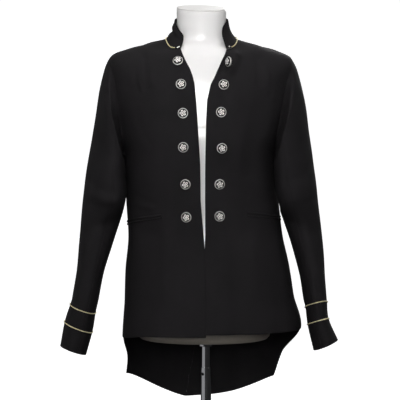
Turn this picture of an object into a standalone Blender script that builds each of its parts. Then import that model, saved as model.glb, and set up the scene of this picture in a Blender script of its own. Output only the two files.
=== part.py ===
"""Military tailcoat, worn open, on a limbless dress form with a telescopic pole.

Units are metres. +X is the wearer's left, the front faces -Y, +Z is up, and the
origin is the centre of the base's underside, on the pole's axis. "right" and
"left" are the wearer's. Cloth panels are walls carried on one smooth surface that
runs from the neckline over the shoulders and down: a table row is one ring of it.
"""
import math
from collections import namedtuple

import bmesh
import bpy
import numpy as np
from mathutils import Matrix, Vector

RIGHT, LEFT = -1, 1

# Cloth and seams
CLOTH = 0.0016
SEAM_GAP = 0.0003
HALF_GAP = SEAM_GAP / 2
COLLAR_CLOTH = 0.0020
SLEEVE_CLEAR = 0.0008
TUCK_DEPTH = 0.0024
# Steps for slopes, halvings and passes of the searches, and the shading's limit
STEP = 1e-4
ANGLE_STEP = 0.018
STATION_STEP = 0.02
HALVINGS = 40
EDGE_PASSES, EDGE_FIRST_GUESS = 12, 20.0
SIDE_SAMPLES = 61
SMOOTH_ANGLE = 40

# One ring of the coat's body. The centre lies over the spine. The widths reach
# the sides, the depths the front and back, and each has its own height there.
# square is the superellipse power and rise the power by which the height changes
# from back or front to side.
Ring = namedtuple("Ring", "name centre_x right_w left_w right_z left_z front_y"
                          " right_front_z left_front_z back_y back_z square rise")
BODY = [
    Ring("neckline", -.010, .0765, .0765, 1.4800, 1.4800, .078, 1.453, 1.453, .062, 1.492, 2.00, 2.0),
    Ring("mid shoulder", -.010, .140, .140, 1.4640, 1.4615, .100, 1.415, 1.415, .085, 1.462, 2.20, 2.0),
    Ring("shoulder tip", -.010, .194, .194, 1.4435, 1.4395, .113, 1.378, 1.378, .098, 1.422, 2.40, 2.0),
    Ring("sleeve head", -.010, .200, .198, 1.4000, 1.3975, .119, 1.343, 1.343, .105, 1.378, 2.40, 2.0),
    Ring("chest", -.010, .197, .191, 1.3450, 1.3430, .124, 1.303, 1.303, .108, 1.333, 2.40, 2.0),
    Ring("bust", -.010, .184, .176, 1.2850, 1.2850, .126, 1.262, 1.262, .108, 1.283, 2.35, 2.0),
    Ring("underarm", -.010, .168, .160, 1.2350, 1.2350, .124, 1.222, 1.222, .106, 1.235, 2.30, 2.0),
    Ring("under bust", -.009, .1667, .1605, 1.1720, 1.1720, .118, 1.165, 1.165, .101, 1.173, 2.30, 2.0),
    Ring("waist", -.008, .1657, .1670, 1.1150, 1.1150, .114, 1.112, 1.112, .098, 1.115, 2.30, 2.0),
    Ring("high hip", -.008, .1600, .1762, 1.0500, 1.0500, .113, 1.050, 1.050, .104, 1.050, 2.30, 2.0),
    Ring("hip", -.010, .1650, .1920, .9850, .9870, .117, .988, .988, .114, .985, 2.30, 2.0),
    Ring("low hip", -.013, .1655, .2056, .9130, .9200, .124, .920, .922, .122, .915, 2.30, 2.0),
    Ring("hem", -.018, .1655, .2262, .8255, .8440, .130, .8475, .8525, .128, .835, 2.30, 4.0),
    Ring("mid tail", -.030, .1460, .2048, .7834, .7900, .131, .780, .780, .132, .755, 2.30, 1.6),
    Ring("tail end", -.046, .1340, .2146, .7430, .7410, .131, .700, .700, .133, .672, 2.30, 1.22),
]
NECK_ROW, TIP_ROW, UNDERARM_ROW, HEM_ROW, TAIL_ROW = 0, 2, 6, 12, 14

# Where the two front edges run, by height
Edge = namedtuple("Edge", "z right_x left_x")
FRONT_EDGES = [
    Edge(1.4624, -.0547, .0443),
    Edge(1.4530, -.0508, .0410),
    Edge(1.4383, -.0439, .0337),
    Edge(1.4217, -.0345, .0266),
    Edge(1.4050, -.0283, .0183),
    Edge(1.3885, -.0245, .0097),
    Edge(1.3554, -.0213, .0021),
    Edge(1.3133, -.0181, -.0001),
    Edge(1.2196, -.0126, -.0020),
    Edge(1.1420, -.0117, -.0023),
    Edge(1.0650, -.0053, -.0015),
    Edge(1.0300, -.0023, -.0032),
    Edge(.9280, -.0002, -.0050),
    Edge(.8400, -.0002, -.0045),
]
TUCK_TOP_Z, TUCK_FULL_Z = 1.100, 1.052
TUCK_NEAR_X, TUCK_FAR_X = .012, .040

# Seams as angles round a ring, from the front
SHOULDER_SEAM, SIDE_SEAM = 90.0, 93.0
ARMHOLE_FRONT, ARMHOLE_BACK = 28.0, 30.0
TAIL_EDGE = {RIGHT: (93.0, 98.0, 103.0), LEFT: (93.0, 105.5, 115.0)}

# How many faces the panels have
ARMHOLE_STEPS = 8
FRONT_COLUMNS, BACK_COLUMNS = 12, 10
SHOULDER_ROWS = (0.0, 0.5, 1.0, 1.5)
SKIRT_ROWS = (6.5, 7.0, 7.5, 8.0, 8.5, 9.0, 9.5, 10.0, 10.5, 11.0, 11.5, 12.0)
TAIL_ROWS = (12.5, 13.0, 13.5, 14.0)

# The largest folds of the body: soft troughs (minus) and ridges (plus) that run
# from one point to another, seen from the front or the back.
Fold = namedtuple("Fold", "face x0 z0 x1 z1 width depth")
FRONT, BACK = -1, 1
FACING_DEPTH = 0.03
FOLDS = [
    Fold(FRONT, -.133, 1.448, -.126, 1.380, .010, -.0030),
    Fold(FRONT, .111, 1.440, .113, 1.390, .010, -.0030),
    Fold(FRONT, .104, 1.325, .092, 1.195, .016, -.0035),
    Fold(FRONT, .064, 1.050, .066, .850, .018, -.0035),
    Fold(FRONT, .100, 1.040, .112, .850, .022, .0035),
    Fold(FRONT, -.082, 1.090, -.090, .850, .022, .0030),
    Fold(FRONT, -.122, 1.060, -.134, .850, .018, -.0030),
    Fold(BACK, -.080, 1.060, -.105, .720, .022, -.0040),
    Fold(BACK, .060, 1.070, .075, .710, .024, -.0045),
    Fold(BACK, -.010, 1.050, -.030, .700, .024, .0040),
    Fold(BACK, .110, 1.400, .100, 1.280, .016, -.0030),
    Fold(BACK, -.125, 1.400, -.118, 1.280, .016, -.0030),
]

# One ring of a sleeve: its outer and inner point seen from the front, half its
# depth, how far forward or back its middle lies and how much its front is raised
ArmRing = namedtuple("ArmRing", "name outer_x outer_z inner_x inner_z half_depth centre_y front_rise")
SLEEVE_RIGHT = [
    ArmRing("armhole", -.2040, 1.4435, -.1780, 1.2350, .069, .000, .0000),
    ArmRing("rope", -.2128, 1.4350, -.1786, 1.2315, .069, .000, .0000),
    ArmRing("head", -.2205, 1.4140, -.1788, 1.2270, .070, .000, .0000),
    ArmRing("cap", -.2300, 1.3750, -.1788, 1.2190, .072, .000, .0000),
    ArmRing("upper arm", -.2382, 1.3270, -.1784, 1.2080, .073, .000, .0000),
    ArmRing("under arm", -.2465, 1.2720, -.1779, 1.1900, .072, -.002, .0000),
    ArmRing("above elbow", -.2567, 1.2175, -.1768, 1.1640, .069, -.005, .0000),
    ArmRing("elbow", -.2648, 1.1600, -.1758, 1.1300, .065, -.008, .0000),
    ArmRing("below elbow", -.2722, 1.0920, -.1860, 1.0880, .061, -.012, .0000),
    ArmRing("forearm", -.2768, 1.0330, -.2045, 1.0310, .058, -.017, .0000),
    ArmRing("mid forearm", -.2830, .9720, -.2230, .9680, .054, -.023, .0005),
    ArmRing("wrist", -.2915, .9200, -.2342, .9120, .051, -.028, .0010),
    ArmRing("upper piping", -.2955, .9060, -.2402, .8862, .050, -.030, .0015),
    ArmRing("lower piping", -.3078, .8684, -.2472, .8442, .049, -.034, .0020),
    ArmRing("cuff end", -.3178, .8155, -.2614, .7950, .048, -.037, .0035),
]
SLEEVE_LEFT = [
    ArmRing("armhole", .1840, 1.4395, .1500, 1.2350, .069, .000, .0000),
    ArmRing("rope", .1905, 1.4315, .1506, 1.2315, .069, .000, .0000),
    ArmRing("head", .1985, 1.4130, .1508, 1.2270, .070, .000, .0000),
    ArmRing("cap", .2085, 1.3750, .1508, 1.2190, .072, .000, .0000),
    ArmRing("upper arm", .2172, 1.3270, .1506, 1.2080, .073, .000, .0000),
    ArmRing("under arm", .2246, 1.2720, .1504, 1.1900, .072, -.002, .0000),
    ArmRing("above elbow", .2329, 1.2175, .1510, 1.1640, .069, -.005, .0000),
    ArmRing("elbow", .2410, 1.1600, .1540, 1.1300, .065, -.008, .0000),
    ArmRing("below elbow", .2478, 1.0920, .1680, 1.0900, .061, -.012, .0010),
    ArmRing("forearm", .2540, 1.0330, .1870, 1.0320, .058, -.017, .0040),
    ArmRing("mid forearm", .2588, .9720, .2035, .9700, .054, -.023, .0080),
    ArmRing("wrist", .2625, .9200, .2128, .9160, .051, -.028, .0115),
    ArmRing("upper piping", .2636, .9100, .2168, .8990, .050, -.030, .0120),
    ArmRing("lower piping", .2678, .8742, .2211, .8610, .049, -.034, .0100),
    ArmRing("cuff end", .2877, .8281, .2340, .8049, .048, -.037, .0040),
]
SLEEVES = {RIGHT: SLEEVE_RIGHT, LEFT: SLEEVE_LEFT}
PIPING_STATIONS = {"upper": 12, "lower": 13}
SLEEVE_SEAM = 5
SLEEVE_HEAD_STATIONS = 2.0
RING_SPACING = 0.050

# The stand collar, from its seam on the neckline up to its top edge
Stand = namedtuple("Stand", "name half_w side_z front_y front_z back_y back_z")
COLLAR_LIFT = 0.0006
NECKLINE = BODY[NECK_ROW]
COLLAR = [
    Stand("base", NECKLINE.right_w, NECKLINE.right_z + COLLAR_LIFT,
          NECKLINE.front_y, NECKLINE.right_front_z + COLLAR_LIFT,
          NECKLINE.back_y, NECKLINE.back_z + COLLAR_LIFT),
    Stand("bend", .0635, 1.4990, .0660, 1.4645, .0570, 1.5110),
    Stand("top edge", .0575, 1.5240, .0580, 1.4780, .0545, 1.5320),
]
COLLAR_ENDS = {RIGHT: (36.0, 40.0), LEFT: (45.5, 48.5)}
COLLAR_COLUMNS, COLLAR_ROWS = 46, 4
PIPING_RADIUS = 0.00125
PIPING_SIDES = 6
PIPING_ENDS = {RIGHT: 46.5, LEFT: 56.5}
PIPING_GAP = 0.0004
NECK_PIPING_GAP = 0.0008

# Buttons, by the height and the distance from the middle plane on each front
Button = namedtuple("Button", "right_x right_z left_x left_z")
BUTTONS = [
    Button(-.0599, 1.4362, .0478, 1.4383),
    Button(-.0534, 1.3885, .0374, 1.3874),
    Button(-.0491, 1.3278, .0315, 1.3299),
    Button(-.0484, 1.2558, .0333, 1.2537),
    Button(-.0436, 1.1764, .0285, 1.1764),
    Button(-.0422, 1.1052, .0286, 1.1073),
]
BUTTON_RADIUS = 0.0110
BUTTON_SEGMENTS = 14
BUTTON_SEAT = 0.0004
RELIEF = 0.0005
# Turned profile of a button as shares of its radius, with the relief's share
ButtonTurn = namedtuple("ButtonTurn", "radius height relief")
BUTTON_PROFILE = [
    ButtonTurn(.90, .00, 0), ButtonTurn(1.0, .10, 0), ButtonTurn(.93, .24, 0),
    ButtonTurn(.62, .30, 1), ButtonTurn(.30, .42, -1),
]
BUTTON_CROWN = .40

# Jetted pockets: two welts each, from the front end to the side
Welt = namedtuple("Welt", "name side front_x front_z side_angle side_z")
POCKETS = [
    Welt("pocket_welt_upper_right", RIGHT, -.0930, 1.1085, 84.0, 1.0850),
    Welt("pocket_welt_lower_right", RIGHT, -.0930, 1.1025, 84.0, 1.0790),
    Welt("pocket_welt_upper_left", LEFT, .0880, 1.1130, 82.0, 1.0960),
    Welt("pocket_welt_lower_left", LEFT, .0880, 1.1070, 82.0, 1.0900),
]
WELT_HALF_HEIGHT = 0.0026
WELT_THICKNESS = 0.0014
WELT_STEPS = 12

# Wire hook and eye on the collar's ends: half length, half width and lean of each loop
Loop = namedtuple("Loop", "name side angle half_length half_width lean")
LOOPS = [
    Loop("collar_hook", RIGHT, 41.2, .0033, .0011, 32.0),
    Loop("collar_eye", LEFT, 53.0, .0017, .0013, 0.0),
]
LOOP_HEIGHT = 0.15
LOOP_WIRE, LOOP_LIFT, LOOP_STEPS = 0.0005, 0.0010, 12

# The dress form below the seat, which follows the coat's own shoulders
FormRing = namedtuple("FormRing", "name centre_x half_w side_z front_y front_z back_y back_z square")
SEAT_ROWS = (0.0, 0.4, 0.8)
SEAT_DROP = CLOTH + 0.0006
SEAT_EASE = 0.0035
FORM = [
    FormRing("shoulder end", -.010, .160, 1.436, .1035, 1.385, .088, 1.427, 2.25),
    FormRing("arm cap", -.010, .167, 1.392, .109, 1.342, .094, 1.388, 2.25),
    FormRing("chest", -.010, .163, 1.335, .113, 1.297, .098, 1.335, 2.2),
    FormRing("bust", -.010, .152, 1.268, .114, 1.252, .095, 1.268, 2.15),
    FormRing("under bust", -.009, .138, 1.190, .100, 1.185, .084, 1.190, 2.1),
    FormRing("waist", -.008, .127, 1.105, .092, 1.105, .078, 1.105, 2.1),
    FormRing("high hip", -.007, .138, 1.025, .099, 1.025, .092, 1.025, 2.1),
    FormRing("hip", -.006, .148, .945, .105, .945, .104, .945, 2.1),
    FormRing("lower edge", -.0045, .1465, .860, .103, .860, .103, .860, 2.1),
    FormRing("rim", -.0045, .1440, .832, .101, .832, .101, .832, 2.1),
    FormRing("underside", -.0045, .1390, .827, .096, .827, .096, .827, 2.1),
]
FORM_SEGMENTS = 36
NECK_W, NECK_Y = .0535, .0500
NECK_X = -.010
NECK_TOP_Z, NECK_LOW_Z = 1.5450, 1.4830
NECK_TILT = 0.09
NECK_ROLL = -0.025
NECK_FLARE = 1.04
CAP_THICKNESS = 0.0030
# The cap's profile: shares of the neck's width and of the cap's thickness
CAP_PROFILE = [(.96, .10), (1.0, .35), (.97, 1.0), (.55, 1.25)]

# The stand: an inner tube slides in an outer one, which is let into a round base
INNER_RADIUS, INNER_BORE = .0103, .0094
OUTER_RADIUS, OUTER_BORE = .0116, .01075
TUBE_SIDES = 24
OUTER_TOP_Z, OUTER_FOOT_Z = .7617, .0045
INNER_TOP_Z, INNER_FOOT_Z = .8267, .4000
FLANGE_RADIUS, FLANGE_DISC, BOSS_RADIUS, BOSS_DROP = .045, .006, .017, .012
BASE_RADIUS, BASE_FOOT_RADIUS, BASE_LIP_Z, BASE_EDGE, BASE_MIDDLE = .160, .1576, .0021, .006, .010
SOCKET_FLARE_RADIUS, SOCKET_FLARE_Z = .0336, .014
SOCKET_RADIUS, SOCKET_TOP_Z, SOCKET_BORE, SOCKET_FLOOR_Z = .021, .040, .01200, .0042
BASE_SIDES = 48
HOLE_RADIUS, HOLE_Z, HOLE_TURN, HOLE_SIDES = .0035, .7470, 38.0, 16


def spline(values, position):
    """Return the Catmull-Rom values between table rows at fractional positions."""
    values = np.asarray(values, float)
    position = np.asarray(position, float)
    padded = np.concatenate(([2 * values[0] - values[1]], values, [2 * values[-1] - values[-2]]))
    row = np.clip(np.floor(position).astype(int), 0, len(values) - 2)
    t = position - row
    before, first, second, after = (padded[row + k] for k in range(4))
    return 0.5 * (2 * first + (second - before) * t
                  + (2 * before - 5 * first + 4 * second - after) * t ** 2
                  + (3 * first - before - 3 * second + after) * t ** 3)


def column(table, name, position):
    """Return one named column of a table, as a smooth value along its rows."""
    return spline([getattr(row, name) for row in table], position)


def smooth(value, low, high):
    """Return a soft step from 0 at low to 1 at high."""
    t = np.clip((np.asarray(value, float) - low) / (high - low), 0.0, 1.0)
    return t * t * (3 - 2 * t)


def side_name(side):
    """Return the wearer's side as a word."""
    return "right" if side == RIGHT else "left"


def bare_body(side, row, angle):
    """Return points of the body surface before folds: a superellipse per row."""
    row, angle = np.broadcast_arrays(np.asarray(row, float), np.asarray(angle, float))
    signed_sine = np.sin(np.radians(angle))
    sine = np.abs(signed_sine)
    cosine = np.cos(np.radians(angle))
    power = 2.0 / column(BODY, "square", row)
    name = side_name(side)
    reach = np.sign(signed_sine) * sine ** power
    x = column(BODY, "centre_x", row) + side * column(BODY, name + "_w", row) * reach
    depth = np.where(cosine > 0, -column(BODY, "front_y", row), column(BODY, "back_y", row))
    y = depth * np.abs(cosine) ** power
    end_z = np.where(cosine > 0, column(BODY, name + "_front_z", row), column(BODY, "back_z", row))
    z = end_z + (column(BODY, name + "_z", row) - end_z) * sine ** column(BODY, "rise", row)
    return np.stack([x, y, z], axis=-1)


def grid_normal(surface, side, row, angle):
    """Return the outward unit normals of a surface that is given as a function."""
    along = surface(side, row + STEP, angle) - surface(side, row - STEP, angle)
    around = surface(side, row, angle + ANGLE_STEP) - surface(side, row, angle - ANGLE_STEP)
    normal = side * np.cross(along, around)
    return normal / np.linalg.norm(normal, axis=-1, keepdims=True)


def fold_depth(points):
    """Return how far the folds push points out, by their distance to each line."""
    total = np.zeros(points.shape[:-1])
    for fold in FOLDS:
        start = np.array([fold.x0, fold.z0])
        line = np.array([fold.x1, fold.z1]) - start
        offset = points[..., [0, 2]] - start
        share = offset @ line / (line @ line)
        nearest = np.clip(share, 0, 1)[..., None] * line
        distance = np.linalg.norm(offset - nearest, axis=-1)
        facing = smooth(points[..., 1] * fold.face, 0.0, FACING_DEPTH)
        total += fold.depth * np.exp(-(distance / fold.width) ** 2) * facing
    return total


def tuck_depth(side, points):
    """Return how far the left front's edge lies behind the right front's."""
    if side == RIGHT:
        return np.zeros(points.shape[:-1])
    lower = 1 - smooth(points[..., 2], TUCK_FULL_Z, TUCK_TOP_Z)
    near = 1 - smooth(points[..., 0], TUCK_NEAR_X, TUCK_FAR_X)
    return -TUCK_DEPTH * lower * near * (points[..., 1] < 0)


def body(side, row, angle):
    """Return points of the coat's outer surface with its folds."""
    row, angle = np.broadcast_arrays(np.asarray(row, float), np.asarray(angle, float))
    points = bare_body(side, row, angle)
    push = fold_depth(points) + tuck_depth(side, points)
    return points + grid_normal(bare_body, side, row, angle) * push[..., None]


def body_normal(side, row, angle):
    """Return outward normals of the coat's outer surface."""
    return grid_normal(body, side, np.asarray(row, float), np.asarray(angle, float))


def angle_at_x(side, row, x):
    """Return the ring angle, on the front half, at which a row has a given x."""
    width = column(BODY, side_name(side) + "_w", row)
    share = np.clip(side * (x - column(BODY, "centre_x", row)) / width, -1.0, 1.0)
    sine = np.sign(share) * np.abs(share) ** (column(BODY, "square", row) / 2)
    return np.degrees(np.arcsin(sine))


def front_edge_angle(side, row):
    """Return the angle of a front's edge at a row, from the edge table."""
    heights = [edge.z for edge in reversed(FRONT_EDGES)]
    places = [getattr(edge, side_name(side) + "_x") for edge in reversed(FRONT_EDGES)]
    angle = np.full(np.shape(row), EDGE_FIRST_GUESS)
    for _ in range(EDGE_PASSES):
        height = bare_body(side, row, angle)[..., 2]
        angle = angle_at_x(side, row, np.interp(height, heights, places))
    return angle


def row_at_height(side, angle_of, z):
    """Return the row at which the front has height z, by halving."""
    low, high = 0.0, float(HEM_ROW)
    for _ in range(HALVINGS):
        middle = (low + high) / 2
        if bare_body(side, middle, angle_of(middle))[2] > z:
            low = middle
        else:
            high = middle
    return low


def place_on_front(side, x, z):
    """Return the row and angle of the front's point that is seen at x and z."""
    def angle_of(row):
        return angle_at_x(side, row, x)
    row = row_at_height(side, angle_of, z)
    return row, float(angle_of(row))


def armhole_rows():
    """Return the rows that the armhole crosses, closer near its top and foot."""
    turn = np.linspace(0, np.pi, ARMHOLE_STEPS + 1)
    middle, half = (TIP_ROW + UNDERARM_ROW) / 2, (UNDERARM_ROW - TIP_ROW) / 2
    return middle - half * np.cos(turn)


def armhole_opening(row):
    """Return how open the armhole is at a row, from 0 to 1, as a half ellipse."""
    middle, half = (TIP_ROW + UNDERARM_ROW) / 2, (UNDERARM_ROW - TIP_ROW) / 2
    share = np.clip((np.asarray(row, float) - middle) / half, -1, 1)
    return np.sqrt(1 - share ** 2)


def outer_seam(side, row, facing):
    """Return the angle where a panel ends: shoulder, armhole, side seam or tail."""
    row = np.asarray(row, float)
    seam = SHOULDER_SEAM + (SIDE_SEAM - SHOULDER_SEAM) * smooth(row, UNDERARM_ROW, UNDERARM_ROW + 2)
    if facing == FRONT:
        return seam - ARMHOLE_FRONT * armhole_opening(row)
    tail = np.interp(row, (HEM_ROW, HEM_ROW + 1, TAIL_ROW), TAIL_EDGE[side])
    seam = np.where(row > HEM_ROW, tail, seam)
    return seam + ARMHOLE_BACK * armhole_opening(row)


def trimmed(grid, first=HALF_GAP, last=HALF_GAP):
    """Return a grid whose first and last columns step inwards for the seam gap."""
    result = grid.copy()
    for edge, inner, gap in ((0, 1, first), (-1, -2, last)):
        reach = grid[:, inner] - grid[:, edge]
        length = np.linalg.norm(reach, axis=-1, keepdims=True)
        result[:, edge] = grid[:, edge] + reach / length * gap
    return result


def slab(outer, inner):
    """Return vertices and triangles of the wall between two equal grids."""
    rows, columns = outer.shape[:2]
    index = np.arange(rows * columns).reshape(rows, columns)
    offset = rows * columns
    faces = []
    for row in range(rows - 1):
        for col in range(columns - 1):
            a, b = index[row, col], index[row, col + 1]
            c, d = index[row + 1, col + 1], index[row + 1, col]
            faces += [(a, b, c), (a, c, d)]
            faces += [(a + offset, c + offset, b + offset), (a + offset, d + offset, c + offset)]
    rim = list(index[0, :]) + list(index[1:, -1]) + list(index[-1, -2::-1]) + list(index[-2:0:-1, 0])
    for here, ahead in zip(rim, rim[1:] + rim[:1]):
        faces += [(ahead, here, here + offset), (ahead, here + offset, ahead + offset)]
    points = np.concatenate([outer.reshape(-1, 3), inner.reshape(-1, 3)])
    return points, faces


def tube(path, radius, sides, closed):
    """Return vertices and faces of a round cord along a path of points."""
    path = np.asarray(path, float)
    if closed:
        tangent = np.roll(path, -1, axis=0) - np.roll(path, 1, axis=0)
    else:
        tangent = np.gradient(path, axis=0)
    tangent /= np.linalg.norm(tangent, axis=1, keepdims=True)
    centre = path.mean(axis=0)
    inward = centre - path
    inward -= (inward * tangent).sum(1, keepdims=True) * tangent
    inward /= np.linalg.norm(inward, axis=1, keepdims=True)
    other = np.cross(tangent, inward)
    turn = np.linspace(0, 2 * np.pi, sides, endpoint=False)
    rings = (path[:, None] + radius * (np.cos(turn)[None, :, None] * inward[:, None]
                                       + np.sin(turn)[None, :, None] * other[:, None]))
    count = len(path)
    faces = []
    for ring in range(count if closed else count - 1):
        ahead = (ring + 1) % count
        for k in range(sides):
            k_next = (k + 1) % sides
            faces.append((ring * sides + k, ring * sides + k_next,
                          ahead * sides + k_next, ahead * sides + k))
    if not closed:
        faces.append(tuple(range(sides))[::-1])
        faces.append(tuple((count - 1) * sides + k for k in range(sides)))
    return rings.reshape(-1, 3), faces


def loft(rings):
    """Return vertices and faces of a closed solid through rings of equal count."""
    rings = np.asarray(rings)
    count, sides = rings.shape[:2]
    faces = []
    for ring in range(count - 1):
        for k in range(sides):
            k_next = (k + 1) % sides
            a, b = ring * sides + k, ring * sides + k_next
            c, d = (ring + 1) * sides + k_next, (ring + 1) * sides + k
            faces += [(a, b, c), (a, c, d)]
    points = rings.reshape(-1, 3)
    middles = np.array([rings[0].mean(0), rings[-1].mean(0)])
    first, last = len(points), len(points) + 1
    for k in range(sides):
        k_next = (k + 1) % sides
        faces.append((first, k_next, k))
        base = (count - 1) * sides
        faces.append((last, base + k, base + k_next))
    return np.concatenate([points, middles]), faces


def turned(profile, sides, closed_profile=False):
    """Return vertices and faces of a solid turned about Z from (radius, z) pairs."""
    turn = np.linspace(0, 2 * np.pi, sides, endpoint=False)
    rings = [np.stack([r * np.cos(turn), r * np.sin(turn), np.full(sides, z)], axis=1)
             for r, z in profile]
    if not closed_profile:
        return loft(rings)
    count = len(rings)
    faces = [(ring * sides + k, ring * sides + (k + 1) % sides,
              (ring + 1) % count * sides + (k + 1) % sides, (ring + 1) % count * sides + k)
             for ring in range(count) for k in range(sides)]
    return np.concatenate(rings), faces


def material(name, colour, roughness, metallic=0.0):
    """Return a plain Principled material."""
    result = bpy.data.materials.new(name)
    result.use_nodes = True
    shader = result.node_tree.nodes["Principled BSDF"]
    shader.inputs["Base Color"].default_value = (*colour, 1.0)
    shader.inputs["Roughness"].default_value = roughness
    shader.inputs["Metallic"].default_value = metallic
    return result


def add_solid(name, points, faces, finish, parent, is_smooth=True):
    """Add a closed mesh as one named object under a body's empty."""
    mesh = bpy.data.meshes.new(name)
    mesh.from_pydata([tuple(map(float, p)) for p in points], [], [tuple(map(int, f)) for f in faces])
    work = bmesh.new()
    work.from_mesh(mesh)
    bmesh.ops.recalc_face_normals(work, faces=work.faces)
    work.to_mesh(mesh)
    work.free()
    if is_smooth:
        mesh.shade_smooth()
        mesh.set_sharp_from_angle(angle=math.radians(SMOOTH_ANGLE))
    mesh.materials.append(finish)
    result = bpy.data.objects.new(name, mesh)
    result.parent = parent
    bpy.context.collection.objects.link(result)
    return result


def add_wall(name, side, rows, angles, finish, parent, first_gap=HALF_GAP, last_gap=HALF_GAP):
    """Add a cloth panel: the body surface on a grid, with its wall inwards."""
    grid_rows = np.repeat(np.asarray(rows)[:, None], angles.shape[1], axis=1)
    outer = body(side, grid_rows, angles)
    inner = outer - CLOTH * body_normal(side, grid_rows, angles)
    shift = trimmed(outer, first_gap, last_gap) - outer
    points, faces = slab(outer + shift, inner + shift)
    return add_solid(name, points, faces, finish, parent)


def panel_rows(last_row):
    """Return the rows of a panel from the neckline to its hem or tail."""
    rows = list(SHOULDER_ROWS) + list(armhole_rows()) + list(SKIRT_ROWS)
    if last_row > HEM_ROW:
        rows += list(TAIL_ROWS)
    return np.array(rows)


def build_fronts(cloth, parent):
    """Build the two fronts, from their open edges to the shoulder, arm and side."""
    share = np.linspace(0, 1, FRONT_COLUMNS + 1)
    for side in (RIGHT, LEFT):
        rows = panel_rows(HEM_ROW)
        start = front_edge_angle(side, rows)[:, None]
        end = outer_seam(side, rows, FRONT)[:, None]
        angles = start + (end - start) * share
        add_wall("front_" + side_name(side), side, rows, angles, cloth, parent, first_gap=0.0)


def build_backs(cloth, parent):
    """Build the two back halves, which run on below the hem as the tail."""
    share = np.linspace(0, 1, BACK_COLUMNS + 1)
    for side in (RIGHT, LEFT):
        rows = panel_rows(TAIL_ROW)
        start = outer_seam(side, rows, BACK)[:, None]
        angles = start + (180.0 - start) * share
        add_wall("back_" + side_name(side), side, rows, angles, cloth, parent)


def armhole_ring(side):
    """Return the armhole's points, from the shoulder tip down the front to the
    underarm and up the back."""
    rows = armhole_rows()
    front = body(side, rows, outer_seam(side, rows, FRONT))
    back = body(side, rows, outer_seam(side, rows, BACK))
    ring = np.concatenate([front, back[-2:0:-1]])
    return ring


def sleeve_ring(side, position):
    """Return one ring of a sleeve: an ellipse between its outer and inner point."""
    table = SLEEVES[side]
    outer_x, outer_z, inner_x, inner_z, depth, centre_y, front_rise = (
        float(column(table, name, position)) for name in ArmRing._fields[1:])
    wall_x = body_side_x(side, inner_z)
    inner_x = side * max(side * inner_x, side * wall_x + SLEEVE_CLEAR)
    turn = np.pi * np.arange(2 * ARMHOLE_STEPS) / ARMHOLE_STEPS
    outer, inner = np.array([outer_x, 0, outer_z]), np.array([inner_x, 0, inner_z])
    ring = (outer + inner) / 2 + np.cos(turn)[:, None] * (outer - inner) / 2
    ring[:, 1] = centre_y - depth * np.sin(turn)
    ring[:, 2] += front_rise * np.sin(turn)
    return ring


def body_side_x(side, z):
    """Return how far out the body's side is at a height."""
    rows = np.linspace(UNDERARM_ROW, HEM_ROW, SIDE_SAMPLES)
    points = bare_body(side, rows, 90.0)
    return float(np.interp(-z, -points[:, 2], points[:, 0]))


def sleeve_positions(side):
    """Return the table positions of a sleeve's rings, with more in long gaps."""
    table = SLEEVES[side]
    positions = [0.0]
    for index, (here, ahead) in enumerate(zip(table, table[1:])):
        length = math.hypot(ahead.outer_x - here.outer_x, ahead.outer_z - here.outer_z)
        steps = max(1, round(length / RING_SPACING))
        positions += [index + (k + 1) / steps for k in range(steps)]
    return positions


def sleeve_grid(side):
    """Return a sleeve's outer and inner rings, from the armhole to the cuff."""
    armhole = armhole_ring(side)
    outer = []
    for position in sleeve_positions(side):
        weight = float(smooth(position, 0.0, SLEEVE_HEAD_STATIONS))
        outer.append(armhole * (1 - weight) + sleeve_ring(side, position) * weight)
    outer = np.array(outer)
    along = np.gradient(outer, axis=0)
    around = np.roll(outer, -1, axis=1) - np.roll(outer, 1, axis=1)
    normal = -side * np.cross(along, around)
    normal /= np.linalg.norm(normal, axis=-1, keepdims=True)
    away = np.array([side, 0.0, 0.0])
    outer[0] += SEAM_GAP * away
    inward = armhole.mean(axis=0) - armhole
    inward[:, 0] = 0
    inward /= np.linalg.norm(inward, axis=1, keepdims=True)
    inner = outer - CLOTH * normal
    inner[0] = outer[0] + CLOTH * inward
    return outer, inner


def build_sleeves(cloth, parent):
    """Build the top sleeve and the under sleeve of each arm."""
    around = 2 * ARMHOLE_STEPS
    top = [k % around for k in range(-SLEEVE_SEAM, SLEEVE_SEAM + 1)]
    under = list(range(SLEEVE_SEAM, around - SLEEVE_SEAM + 1))
    for side in (RIGHT, LEFT):
        outer, inner = sleeve_grid(side)
        for part, columns in (("top", top), ("under", under)):
            shift = trimmed(outer[:, columns]) - outer[:, columns]
            points, faces = slab(outer[:, columns] + shift, inner[:, columns] + shift)
            add_solid(f"{part}_sleeve_{side_name(side)}", points, faces, cloth, parent)


def ring_outline(side, station, outward):
    """Return a sleeve ring's points moved out along the sleeve's own normals."""
    here = sleeve_ring(side, station)
    along = (sleeve_ring(side, station + STATION_STEP)
             - sleeve_ring(side, station - STATION_STEP))
    around = np.roll(here, -1, axis=0) - np.roll(here, 1, axis=0)
    normal = -side * np.cross(along, around)
    normal /= np.linalg.norm(normal, axis=-1, keepdims=True)
    return here + outward * normal


def build_cuff_piping(gold, parent):
    """Build the two cords round each cuff."""
    for side in (RIGHT, LEFT):
        for name, station in PIPING_STATIONS.items():
            path = ring_outline(side, float(station), PIPING_RADIUS + PIPING_GAP)
            points, faces = tube(path, PIPING_RADIUS, PIPING_SIDES, closed=True)
            add_solid(f"cuff_piping_{name}_{side_name(side)}", points, faces, gold, parent)


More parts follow.
